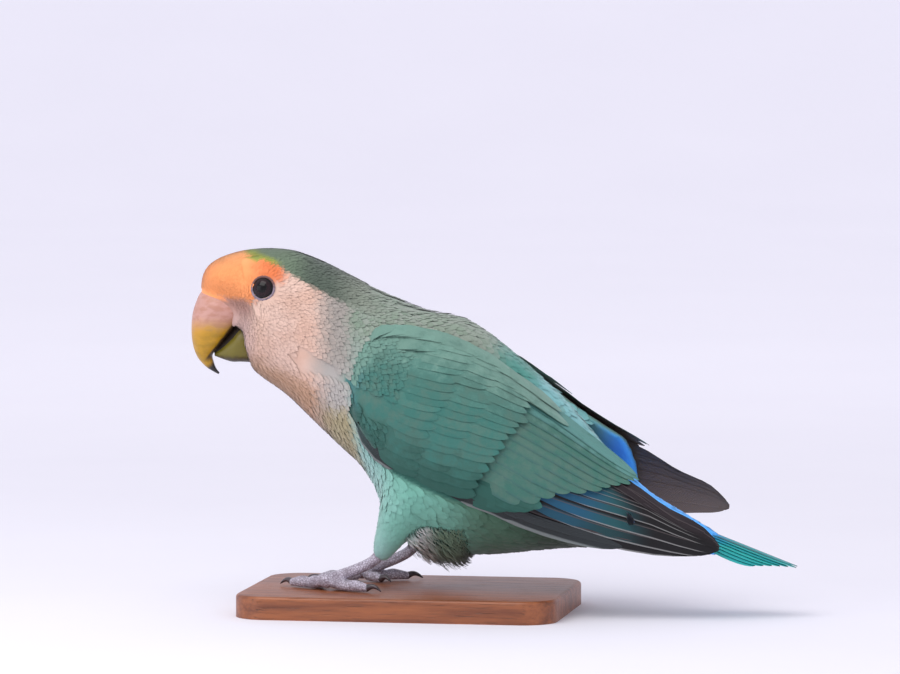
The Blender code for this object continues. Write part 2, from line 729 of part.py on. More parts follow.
def foot(name, side):
    heel, root = leg_point(HEEL, side), leg_point(TOE_ROOT, side)
    points = [heel.lerp(root, i / 4) for i in range(5)]
    tarsus = tube(name, points, TARSUS_RADII, "foot")
    pieces = [ball("palm", root, 1.9, "foot", 10, 6)]
    for toe in TOES:
        pieces += toe_and_claw(toe, side, root)
    join(tarsus, pieces)
    bm = bmesh.new()
    bmesh.ops.create_cube(bm, size=1.0)
    bmesh.ops.scale(bm, vec=(80, 60, 10), verts=bm.verts)
    bmesh.ops.translate(bm, vec=(root.x, root.y, SOLE_Z - 5), verts=bm.verts)
    return cut(tarsus, [object_from(bm, "floor_cutter", "foot"), thigh("thigh_cutter", side, GAP)])


# Tail: a core that carries the tail feathers, and the long coverts over and under them

def tail_feather(side, pair):
    root, tip = Vector(TAIL_ROOT), Vector(TAIL_TIP)
    reach_out = TAIL_SPREAD[0] + TAIL_SPREAD[1] * pair
    down = TAIL_STEP * (pair + (0.5 if side == LEFT else 0.0))
    rise = (tip - root).cross(Vector((0, 1, 0))).normalized()
    rise = rise if rise.z > 0 else -rise

    def surface(share, reach):
        shaft = root.lerp(tip, share * (1 - TAIL_SHORTER * pair))
        across = reach_out * (0.45 + 0.55 * smoothstep(share * 1.5)) + reach
        fall = TAIL_FALL * across * across + down
        outward = (rise + Vector((0, side * 2 * TAIL_FALL * across, 0))).normalized()
        return shaft + Vector((0, side * across, 0)) - rise * fall, outward

    return vane(surface, TAIL_WIDTH, TAIL_ROWS, 0.42, "tail_feathers")


def body_vane(angle, start, end, width, lift, rows):
    """A vane on the body's skin, along one line from head to tail."""
    def surface(share, reach):
        place = start + (end - start) * share
        ring = body_section(place)
        turn = math.radians(angle) + reach / ring[1]
        point, outward = section_point(ring, turn)
        rise = -0.5 + (lift + 0.5) * smoothstep(share * 1.4)
        return point + outward * rise, outward
    return vane(surface, width, rows, 0.5, "tail_feathers")


def tail_node():
    tail = body_part("tail", after(TORSO_END), len(STATIONS) - 1, "tail_feathers", 1.5)
    vanes = [tail_feather(side, pair) for pair in range(TAIL_PAIRS) for side in (LEFT, RIGHT)]
    for tract in TAIL_COVERTS:
        for angle in tract.angles:
            vanes.append(body_vane(angle, tract.start, tract.end, tract.width, tract.lift, COVERT_STEPS))
    return join(tail, vanes)


def base():
    length, width, height = BASE_SIZE
    bm = bmesh.new()
    bmesh.ops.create_cube(bm, size=1.0)
    bmesh.ops.scale(bm, vec=(length, width, height), verts=bm.verts)
    bmesh.ops.translate(bm, vec=(BASE_CENTRE_X, 0, height / 2), verts=bm.verts)
    upright = [e for e in bm.edges if abs(e.verts[0].co.z - e.verts[1].co.z) > height / 2]
    bmesh.ops.bevel(bm, geom=upright, offset=BASE_CORNER, segments=6, profile=0.5, affect="EDGES")
    rim = [e for e in bm.edges if all(v.co.z > height - 0.01 for v in e.verts)]
    bmesh.ops.bevel(bm, geom=rim, offset=BASE_EDGE, segments=2, profile=0.5, affect="EDGES")
    return object_from(bm, "stand_base", "base_wood")


def main():
    clear_scene()
    base()

    head = body_part("head", 0.0, HEAD_END, "face_feathers", 2.6)
    neck = body_part("neck", after(HEAD_END), NECK_END, "neck_feathers")
    torso = body_part("torso", after(NECK_END), TORSO_END, "body_feathers", 1.6)
    tail = tail_node()

    join(head, [lid_ring(side) for side in (LEFT, RIGHT)])
    sockets = [ball("socket", eye_centre(side), EYE_RADIUS + GAP, "eye") for side in (LEFT, RIGHT)]
    cut(head, sockets)
    for side, word in ((LEFT, "left"), (RIGHT, "right")):
        ball("eye_" + word, eye_centre(side), EYE_RADIUS, "eye")
    cut(head, [bill_half("bill_bed", UPPER_BILL, GAP), bill_half("bill_bed_low", LOWER_BILL, GAP)])
    upper = bill_half("bill_upper", UPPER_BILL)
    nostrils = []
    for side in (LEFT, RIGHT):
        x, y, z = NOSTRIL
        nostrils.append(ball("nostril", head_turned((x, side * y, z)), NOSTRIL_RADIUS, "bill", 8, 6))
    cut(upper, nostrils)
    lower = bill_half("bill_lower", LOWER_BILL)
    cut(lower, [bill_half("mouth", UPPER_BILL, GAP)])

    for side, word in ((LEFT, "left"), (RIGHT, "right")):
        thigh("thigh_" + word, side)
        cut(torso, [thigh("thigh_bed", side, GAP)])
        wing("wing_" + word, side)
        for node in (neck, torso, tail):
            cut(node, [wing_bed(side)])
        foot("foot_" + word, side)


main()
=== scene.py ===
"""The looks of a life-size peach-faced lovebird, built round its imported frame.

The bird faces -X with its left side towards -Y, and Z is up. Lengths are in millimetres
until a mesh is made, where MM turns them into metres.
"""

import math

import bmesh
import bpy
import numpy as np
from mathutils import Matrix, Vector
from mathutils.bvhtree import BVHTree
from mathutils.kdtree import KDTree


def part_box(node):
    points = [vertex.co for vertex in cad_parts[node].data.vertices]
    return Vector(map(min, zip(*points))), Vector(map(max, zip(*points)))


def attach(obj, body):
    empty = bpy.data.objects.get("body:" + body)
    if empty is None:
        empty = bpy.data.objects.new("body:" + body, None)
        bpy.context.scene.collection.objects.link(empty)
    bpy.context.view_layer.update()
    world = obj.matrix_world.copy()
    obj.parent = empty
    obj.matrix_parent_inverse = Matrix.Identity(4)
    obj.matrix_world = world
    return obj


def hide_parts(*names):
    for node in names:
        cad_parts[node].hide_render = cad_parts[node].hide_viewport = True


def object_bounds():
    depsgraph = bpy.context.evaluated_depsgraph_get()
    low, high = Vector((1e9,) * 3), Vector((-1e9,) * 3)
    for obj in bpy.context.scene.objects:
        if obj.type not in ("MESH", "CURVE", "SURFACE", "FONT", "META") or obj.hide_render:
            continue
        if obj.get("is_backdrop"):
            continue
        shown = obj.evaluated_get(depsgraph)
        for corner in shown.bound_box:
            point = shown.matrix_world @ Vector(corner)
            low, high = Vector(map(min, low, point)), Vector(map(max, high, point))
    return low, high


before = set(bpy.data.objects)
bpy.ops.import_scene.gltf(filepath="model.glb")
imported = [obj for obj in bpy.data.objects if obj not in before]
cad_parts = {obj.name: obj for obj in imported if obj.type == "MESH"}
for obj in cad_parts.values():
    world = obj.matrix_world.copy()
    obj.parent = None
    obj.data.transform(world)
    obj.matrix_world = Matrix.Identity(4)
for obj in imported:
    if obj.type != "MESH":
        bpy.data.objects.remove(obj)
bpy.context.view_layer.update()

MM = 0.001

# The view
# The bird is seen from its left side, a little from behind and above, from a metre and a
# half away. A wide soft light hangs over its back, in a room with pale walls.
VIEW_AZIMUTH, VIEW_ELEVATION = math.radians(10), math.radians(4)
VIEW_DISTANCE = 1500
VIEW_CENTRE = Vector((10.56, 0.0, 71.55))
VIEW_WIDTH = 234
SENSOR_WIDTH = 36


def light(name, place, target, size, watts, colour):
    """A square soft light that faces its target."""
    lamp = bpy.data.lights.new(name, "AREA")
    lamp.size = size * MM
    lamp.energy = watts
    lamp.color = colour
    holder = bpy.data.objects.new(name, lamp)
    holder.location = Vector(place) * MM
    holder.rotation_euler = (Vector(target) - Vector(place)).to_track_quat("-Z", "Y").to_euler()
    bpy.context.scene.collection.objects.link(holder)


def paint(red, green, blue):
    """A colour as the eye reads it, each part from 0 to 255, as the shader's linear values."""
    return (*(((part / 255 + 0.055) / 1.055) ** 2.4 for part in (red, green, blue)), 1.0)


back = Vector((
    math.sin(VIEW_AZIMUTH) * math.cos(VIEW_ELEVATION),
    -math.cos(VIEW_AZIMUTH) * math.cos(VIEW_ELEVATION),
    math.sin(VIEW_ELEVATION),
))
camera_data = bpy.data.cameras.new("side_view")
camera_data.sensor_width = SENSOR_WIDTH
camera_data.lens = SENSOR_WIDTH * VIEW_DISTANCE / VIEW_WIDTH
camera = bpy.data.objects.new("side_view", camera_data)
camera.location = (VIEW_CENTRE + back * VIEW_DISTANCE) * MM
camera.rotation_euler = (-back).to_track_quat("-Z", "Y").to_euler()
bpy.context.scene.collection.objects.link(camera)
bpy.context.scene.camera = camera

light("sky", (-150, -350, 620), (10, 0, 50), 520, 2.6, (1.0, 0.99, 0.97))
light("front_fill", (-500, -420, 160), (-20, 0, 60), 420, 0.6, (0.96, 0.97, 1.0))
room = bpy.data.worlds.new("room")
room.use_nodes = True
room.node_tree.nodes["Background"].inputs["Color"].default_value = paint(238, 236, 246)
room.node_tree.nodes["Background"].inputs["Strength"].default_value = 0.88
bpy.context.scene.world = room
bpy.context.scene.view_settings.view_transform = "Standard"


# The floor
# A wide sheet of pale matt card that the model's base stands on. It curves up two metres
# away all round, so that no edge shows. It isn't part of the model.
FLAT_RADIUS, RISE, HALF_SIZE = 2.0, 0.5, 3.2


class Value:
    """A value in a material. Python's operators on it add the material's Math nodes."""

    def __init__(self, finish, socket):
        self.finish = finish
        self.socket = socket

    def math(self, operation, *others):
        return self.finish.node("Math", {"operation": operation}, dict(enumerate((self, *others))))

    def __add__(self, other):
        return self.math("ADD", other)

    def __sub__(self, other):
        return self.math("SUBTRACT", other)

    def __rsub__(self, other):
        return self.math("MULTIPLY", -1.0).math("ADD", other)

    def __mul__(self, other):
        return self.math("MULTIPLY", other)

    def __abs__(self):
        return self.math("ABSOLUTE")

    __radd__ = __add__
    __rmul__ = __mul__

    def step(self, start, end):
        """A soft step from 0 at the start to 1 at the end, which may be the lower of the two."""
        values = {"Value": self, "From Min": start, "From Max": end}
        return self.finish.node("MapRange", {"interpolation_type": "SMOOTHSTEP"}, values)

    def output(self, name):
        """Another output of the same node."""
        return Value(self.finish, self.socket.node.outputs[name])


class Finish:
    """A material. Its constants stand on the shader's own sockets."""

    def __init__(self, name, **constants):
        self.material = bpy.data.materials.new(name)
        self.material.use_nodes = True
        self.tree = self.material.node_tree
        self.shader = self.tree.nodes["Principled BSDF"]
        for socket, value in constants.items():
            self.shader.inputs[socket.replace("_", " ")].default_value = value

    def node(self, kind, settings=None, values=None, output=0):
        """Adds a node with its settings and the values or links of its sockets."""
        made = self.tree.nodes.new("ShaderNode" + kind)
        for name, setting in (settings or {}).items():
            setattr(made, name, setting)
        for name, value in (values or {}).items():
            if isinstance(value, Value):
                self.tree.links.new(value.socket, made.inputs[name])
            else:
                made.inputs[name].default_value = value
        return Value(self, made.outputs[output])

    def link(self, **values):
        """Links values that change over the surface to the shader's sockets."""
        for name, value in values.items():
            self.tree.links.new(value.socket, self.shader.inputs[name.replace("_", " ")])
        return self.material

    def blend(self, first, second, share):
        """A colour that goes from the first to the second as the share goes from 0 to 1."""
        return self.node("Mix", {"data_type": "RGBA"}, {0: share, 6: first, 7: second}, 2)

    def attribute(self, name):
        """A vector that the mesh carries at each point."""
        return self.node("Attribute", {"attribute_name": name}, output="Vector")

    def parts(self, vector):
        """The three parts of a vector."""
        split = self.node("SeparateXYZ", None, {0: vector})
        return [split.output(axis) for axis in "XYZ"]

    def distance(self, place, point):
        return self.node("VectorMath", {"operation": "DISTANCE"}, {0: place, 1: point}, "Value")

    def noise(self, place, scale, detail=2.0, roughness=0.5):
        """Cloudy noise about 0, from -0.5 to 0.5."""
        values = {"Vector": place, "Scale": scale, "Detail": detail, "Roughness": roughness}
        return self.node("TexNoise", None, values) - 0.5

    def shade(self, colour, brightness):
        return self.node("HueSaturation", None, {"Value": brightness, "Color": colour})

    def bump(self, height, depth):
        """A bump whose height is in shares of the depth, which is in metres."""
        return self.node("Bump", None, {"Height": height, "Distance": depth, "Strength": 1.0}, "Normal")


def place_in_mm(finish):
    """The point on a piece in millimetres, from its Object coordinates."""
    place = finish.node("TexCoord", output="Object")
    return finish.node("VectorMath", {"operation": "SCALE"}, {0: place, "Scale": 1 / MM})


card = Finish("pale_card", Roughness=0.9, Emission_Strength=1.0)
card_place = card.node("TexCoord", output="Object")
card_tone = card.noise(card_place, 9.0, 4.0)
far = card.node("VectorMath", {"operation": "LENGTH"}, {0: card_place}, "Value").step(0.1, 0.9)
card.link(
    Base_Color=card.blend(paint(240, 239, 246), paint(234, 233, 241), card_tone + 0.5),
    Emission_Color=card.blend((0, 0, 0, 1), (0.17, 0.168, 0.185, 1), far),
)

floor_bm = bmesh.new()
bmesh.ops.create_grid(floor_bm, x_segments=64, y_segments=64, size=HALF_SIZE)
for vert in floor_bm.verts:
    vert.co.z = max(vert.co.length - FLAT_RADIUS, 0) ** 2 * RISE
floor_mesh = bpy.data.meshes.new("floor")
floor_bm.to_mesh(floor_mesh)
floor_bm.free()
floor_mesh.shade_smooth()
floor_mesh.materials.append(card.material)
floor = bpy.data.objects.new("floor", floor_mesh)
bpy.context.scene.collection.objects.link(floor)
floor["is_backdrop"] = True


# The wooden base
# A flat plate of reddish-brown stained hardwood with round corners and a softened top edge,
# oiled to a low sheen. Its grain runs along the plate.
BASE_CORNER, BASE_EDGE = 9.0, 0.9


def sort_faces(bm):
    """Puts the faces in the order of their points. Extruded ones come in another order each run."""
    bm.verts.index_update()
    ordered = sorted(bm.faces, key=lambda face: sorted(vert.index for vert in face.verts))
    order = {face: place for place, face in enumerate(ordered)}
    bm.faces.sort(key=order.get)
    bm.faces.index_update()


def piece(name, bm, material, replaced=(), smooth_angle=40):
    """A finished piece from a bmesh in millimetres, which rides on the frame."""
    bmesh.ops.scale(bm, vec=(MM, MM, MM), verts=bm.verts)
    sort_faces(bm)
    mesh = bpy.data.meshes.new(name)
    bm.to_mesh(mesh)
    bm.free()
    mesh.shade_smooth()
    mesh.set_sharp_from_angle(angle=math.radians(smooth_angle))
    return set_in_frame(name, mesh, material, replaced)


def set_in_frame(name, mesh, material, replaced=()):
    """A mesh as a piece of the model, with its finish and the nodes that it stands for."""
    mesh.materials.append(material)
    made = bpy.data.objects.new(name, mesh)
    bpy.context.scene.collection.objects.link(made)
    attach(made, "root")
    if replaced:
        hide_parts(*replaced)
    return made


wood = Finish("stained_hardwood", Roughness=0.42, Coat_Weight=0.12, Coat_Roughness=0.3)
wood_place = place_in_mm(wood)
stretched = wood.node("Mapping", None, {"Vector": wood_place, "Scale": (0.035, 0.5, 0.5)})
grain = wood.noise(stretched, 1.0, 6.0, 0.65)
pores = wood.noise(wood.node("Mapping", None, {"Vector": wood_place, "Scale": (0.16, 3.6, 3.6)}), 1.0, 2.0)
stain = wood.blend(paint(112, 60, 34), paint(158, 92, 52), (grain + 0.5).step(0.3, 0.7))
stain = wood.shade(stain, 1.0 - 0.5 * pores.step(0.08, 0.3))
wood.link(
    Base_Color=stain,
    Normal=wood.bump(grain * 0.6 - pores.step(0.08, 0.3), 0.00012),
)

low, high = (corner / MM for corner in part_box("stand_base"))
plate = bmesh.new()
bmesh.ops.create_cube(plate, size=1.0)
bmesh.ops.scale(plate, vec=high - low, verts=plate.verts)
bmesh.ops.translate(plate, vec=(low + high) / 2, verts=plate.verts)
upright = [e for e in plate.edges if abs(e.verts[0].co.z - e.verts[1].co.z) > 1]
bmesh.ops.bevel(
    plate, geom=upright, offset=BASE_CORNER, segments=14, profile=0.5, affect="EDGES", material=-1,
)
rim = [e for e in plate.edges if all(v.co.z > high.z - 0.01 for v in e.verts)]
bmesh.ops.bevel(
    plate, geom=rim, offset=BASE_EDGE, segments=5, profile=0.5, affect="EDGES", material=-1,
)
piece("stand_plate", plate, wood.material, ["stand_base"])


# The skin
# One skin lies under all the feathers, from the bill's root to the tail. It is the flesh of
# head, neck, trunk, thighs and folded wings run together, a feather's depth under the outline.
COAT_DEPTH = 0.45
OVERLAP = 0.35  # each part grows by this first, so that the gaps between the parts close
SKIN_VOXEL = 0.85
RIM_ROUNDS = 30  # of smoothing where the wings' rims run into the body
BACK_FILL = 3.0  # of loose feathers that round out the back between the wings' upper edges
BACK_EDGE = (15.0, 0.2)  # half width of that filling at the origin, and how fast it narrows
FLESH = ("head", "neck", "torso", "thigh_left", "thigh_right")
FILLINGS = ("eye_left", "eye_right", "bill_upper")
# Back and belly of the tail's root, in the bird's own plane, and its half width
TAIL_ROOT_STATIONS = (
    ((58.0, 36.5), (54.5, 17.4), 10.4),
    ((64.0, 31.8), (61.0, 16.9), 8.6),
    ((70.4, 28.2), (68.4, 16.0), 7.0),
    ((76.6, 24.7), (76.0, 15.4), 5.2),
    ((83.0, 20.8), (83.2, 15.8), 2.8),
)
# Stations of the folded left wing, from the shoulder to the tip: the top edge, the bottom
# edge, how far the wing bulges between them and how thick it is.
WING = np.array((
    (-12.2, -17.4, 62.6, -12.6, -17.4, 57.6, 0.4, 1.0),
    (-10.5, -17.2, 69.1, -11.8, -17.6, 51.0, 2.2, 3.2),
    (-5.7, -15.4, 74.5, -7.9, -17.4, 43.5, 5.0, 4.6),
    (3.8, -13.8, 74.7, 1.2, -18.0, 38.1, 7.4, 5.2),
    (14.9, -12.4, 71.7, 12.1, -18.8, 33.4, 8.4, 5.2),
    (25.5, -10.4, 65.5, 22.3, -19.0, 30.3, 8.4, 4.6),
    (35.6, -8.0, 57.7, 32.7, -18.6, 26.0, 7.8, 3.8),
    (44.3, -5.8, 49.8, 42.3, -17.4, 23.0, 6.8, 3.0),
    (52.0, -4.8, 43.4, 52.5, -16.0, 20.4, 5.4, 2.6),
    (59.1, -4.8, 38.0, 62.6, -14.5, 18.6, 4.0, 2.3),
    (67.9, -6.4, 30.3, 71.5, -13.0, 17.8, 2.6, 2.0),
    (77.3, -8.4, 25.2, 78.5, -11.8, 17.5, 1.0, 1.6),
    (82.6, -9.4, 19.8, 82.5, -10.6, 18.2, 0.2, 1.1),
))
WING_FLESH_END = 8.6
WING_EDGE = 1.2
WING_SINK = 0.8  # under the long vanes, which lie close on each other there
RIGHT_WING_RISE, RISE_FROM_X, RISE_LENGTH = 8.8, 14.0, 62.0
LEFT, RIGHT = -1, 1


def smoothstep(values):
    values = np.clip(values, 0.0, 1.0)
    return values * values * (3 - 2 * values)


def through(stations, places):
    """The stations' values at fractional places along them, on a Catmull-Rom curve."""
    last = len(stations) - 1
    index = np.clip(places.astype(int), 0, last - 1)
    t = (places - index)[..., None]
    a, b, c, d = (stations[np.clip(index + k, 0, last)] for k in (-1, 0, 1, 2))
    return 0.5 * (2 * b + (c - a) * t + (2 * a - 5 * b + 4 * c - d) * t**2
                  + (3 * b - a - 3 * c + d) * t**3)


def unit(vectors):
    return vectors / np.maximum(np.linalg.norm(vectors, axis=-1, keepdims=True), 1e-9)


def wing_face(along, across):
    """Points of the left wing's outer face, at places along its stations and across it."""
    values = through(WING, along)
    last = len(WING) - 1
    ahead = through(WING, np.minimum(along + 0.2, last))
    behind = through(WING, np.maximum(along - 0.2, 0))
    run = ahead[..., :3] + ahead[..., 3:6] - behind[..., :3] - behind[..., 3:6]
    top, bottom = values[..., :3], values[..., 3:6]
    outward = unit(np.cross(bottom - top, run))
    outward = np.where(outward[..., 1:2] > 0, -outward, outward)
    across = across[..., None]
    return top + (bottom - top) * across + outward * values[..., 6:7] * 4 * across * (1 - across)


def wing_surface(along, across, side):
    """Points of one wing's outer face, and the outward directions there."""
    nudge = 0.02
    last = len(WING) - 1
    along = np.clip(along, nudge, last - nudge)
    point = wing_face(along, across)
    run = wing_face(along + nudge, across) - wing_face(along - nudge, across)
    span = wing_face(along, across + nudge) - wing_face(along, across - nudge)
    outward = unit(np.cross(span, run))
    outward = np.where(outward[..., 1:2] > 0, -outward, outward)
    if side == RIGHT:
        rise = RIGHT_WING_RISE * smoothstep((point[..., 0] - RISE_FROM_X) / RISE_LENGTH)
        point = point * (1, -1, 1) + rise[..., None] * (0, 0, 1)
        outward = outward * (1, -1, 1)
    return point, outward


def loft(bm, rings):
    """Draws a ring out through the rings that follow it, with both ends capped."""
    cap = bm.faces.new([bm.verts.new(point) for point in rings[0]])
    for count, ring in enumerate(rings[1:]):
        drawn = bmesh.ops.extrude_face_region(bm, geom=[cap])["geom"]
        if count:
            bmesh.ops.delete(bm, geom=[cap], context="FACES_ONLY")
        cap = next(part for part in drawn if isinstance(part, bmesh.types.BMFace))
        for vert, point in zip(cap.verts, ring):
            vert.co = point
    bmesh.ops.recalc_face_normals(bm, faces=bm.faces)
    sort_faces(bm)


def flesh_of(node):
    """The node's solid in millimetres, grown a little so that it runs into its neighbours."""
    bm = bmesh.new()
    bm.from_mesh(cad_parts[node].data)
    bmesh.ops.scale(bm, vec=(1 / MM, 1 / MM, 1 / MM), verts=bm.verts)
    bmesh.ops.remove_doubles(bm, verts=bm.verts, dist=0.005)
    bm.normal_update()
    for vert in bm.verts:
        vert.co += vert.normal * OVERLAP
    return bm


def tail_root_flesh():
    rings = []
    for upper, lower, half_width in TAIL_ROOT_STATIONS:
        top, bottom = (Vector((x, 0, z)) for x, z in (upper, lower))
        centre, half = (top + bottom) / 2, (top - bottom) / 2
        angles = (2 * math.pi * i / 24 for i in range(24))
        rings.append([centre + half * math.cos(a) + Vector((0, half_width * math.sin(a), 0)) for a in angles])
    bm = bmesh.new()
    loft(bm, rings)
    return bm


def wing_flesh(side):
    """The flesh of a folded wing: its outer face, drawn inwards by the wing's thickness."""
    bm = bmesh.new()
    bmesh.ops.create_grid(bm, x_segments=60, y_segments=14, size=0.5)
    outer = list(bm.verts)
    drawn = bmesh.ops.extrude_face_region(bm, geom=bm.faces[:])["geom"]
    inner = [part for part in drawn if isinstance(part, bmesh.types.BMVert)]
    for verts, sunk in ((outer, 0.0), (inner, 1.0)):
        shares = np.array([vert.co for vert in verts])[:, :2] + 0.5
        along, across = shares[:, 0] * WING_FLESH_END, shares[:, 1]
        point, outward = wing_surface(along, across, side)
        swell = np.minimum(1.0, 6.4 * across * (1 - across))
        depth = WING_EDGE + (through(WING, along)[:, 7] - WING_EDGE) * swell
        sunk_under_vanes = 0.1 + WING_SINK * smoothstep((along - 2.5) / 2.5)
        point = point - outward * (depth * sunk + sunk_under_vanes)[:, None]
        for vert, place in zip(verts, point):
            vert.co = place
    bmesh.ops.recalc_face_normals(bm, faces=bm.faces)
    return bm


def run_together(parts, voxel, rounds, shrink):
    """One closed bmesh round all the parts, smoothed, and then drawn in by a depth."""
    mesh = bpy.data.meshes.new("flesh")
    joined = bmesh.new()
    for part in parts:
        part.to_mesh(mesh)
        joined.from_mesh(mesh)
    joined.to_mesh(mesh)
    joined.free()
    holder = bpy.data.objects.new("flesh", mesh)
    bpy.context.scene.collection.objects.link(holder)
    remesh = holder.modifiers.new("remesh", "REMESH")
    remesh.mode = "VOXEL"
    remesh.voxel_size = voxel
    remesh.adaptivity = 0
    bpy.context.view_layer.update()
    graph = bpy.context.evaluated_depsgraph_get()
    shaped = bpy.data.meshes.new_from_object(holder.evaluated_get(graph))
    bpy.data.objects.remove(holder)
    bm = bmesh.new()
    bm.from_mesh(shaped)
    for _ in range(rounds):
        bmesh.ops.smooth_vert(
            bm, verts=bm.verts, factor=0.5, use_axis_x=True, use_axis_y=True, use_axis_z=True,
        )
    bm.normal_update()
    for vert in bm.verts:
        vert.co -= vert.normal * shrink
    bmesh.ops.smooth_vert(
        bm, verts=bm.verts, factor=0.5, use_axis_x=True, use_axis_y=True, use_axis_z=True,
    )
    bm.normal_update()
    return bm


def arrays_of(bm):
    """The bmesh's triangles as arrays: points, corners and the outward direction at each point."""
    flat = bm.copy()
    bmesh.ops.triangulate(flat, faces=flat.faces)
    points = np.array([vert.co for vert in flat.verts])
    normals = np.array([vert.normal for vert in flat.verts])
    corners = np.array([[vert.index for vert in face.verts] for face in flat.faces])
    flat.free()
    return points, corners, normals


body_bm = run_together(
    [flesh_of(node) for node in (*FLESH, *FILLINGS)] + [tail_root_flesh()],
    SKIN_VOXEL, 12, OVERLAP + COAT_DEPTH,
)
for vert in body_bm.verts:
    x, y, _ = vert.co
    beside = smoothstep((BACK_EDGE[0] - BACK_EDGE[1] * x - abs(y)) / 4)
    if vert.normal.z > 0.2:
        vert.co.z += BACK_FILL * beside * smoothstep((x - 2) / 14) * smoothstep((60 - x) / 24)
# Places along and across the wings, to find which part of a wing a point lies on
WING_GRID = np.stack(np.meshgrid(np.linspace(0.05, 11.9, 120), np.linspace(0, 1, 31)), axis=2).reshape(-1, 2)
wing_finders = []
for side in (LEFT, RIGHT):
    finder = KDTree(len(WING_GRID))
    for index, point in enumerate(wing_surface(WING_GRID[:, 0], WING_GRID[:, 1], side)[0].tolist()):
        finder.insert(point, index)
    finder.balance()
    wing_finders.append(finder)


def on_wing(points):
    """Whether each point lies on a wing, as a share, and its places along and across that wing."""
    found = [min((finder.find(point)[1:] for finder in wing_finders), key=lambda hit: hit[1])
             for point in points.tolist()]
    share = smoothstep((2.3 - np.array([distance for _, distance in found])) / 1.0)
    return np.column_stack([share, WING_GRID[[index for index, _ in found]]])


skin_bm = run_together([body_bm, wing_flesh(LEFT), wing_flesh(RIGHT)], SKIN_VOXEL, 6, 0.0)
on, along, across = on_wing(np.array([vert.co for vert in skin_bm.verts])).T
skin_bm.verts.ensure_lookup_table()
at_rim = (on > 0) & ((on < 0.95) | (along < 0.9) | (across < 0.07) | (across > 0.93)) & (along < 5)
rim_verts = [skin_bm.verts[index] for index in np.flatnonzero(at_rim)]
for _ in range(RIM_ROUNDS):
    bmesh.ops.smooth_vert(
        skin_bm, verts=rim_verts, factor=0.5, use_axis_x=True, use_axis_y=True, use_axis_z=True,
    )
skin_bm.normal_update()
skin_points, skin_corners, skin_normals = arrays_of(skin_bm)
skin_tree = BVHTree.FromPolygons(skin_points.tolist(), skin_corners.tolist())


HEAD_TURN, TURN_AXIS_X = math.radians(10), -18.0
RED_SPOT = (-33.1, -9.5, 85.4)


def head_turned(point):
    """The point of a head that looks straight ahead, after the head's turn to its left."""
    pivot = Vector((TURN_AXIS_X, 0, 0))
    return Matrix.Rotation(HEAD_TURN, 3, "Z") @ (Vector(point) - pivot) + pivot


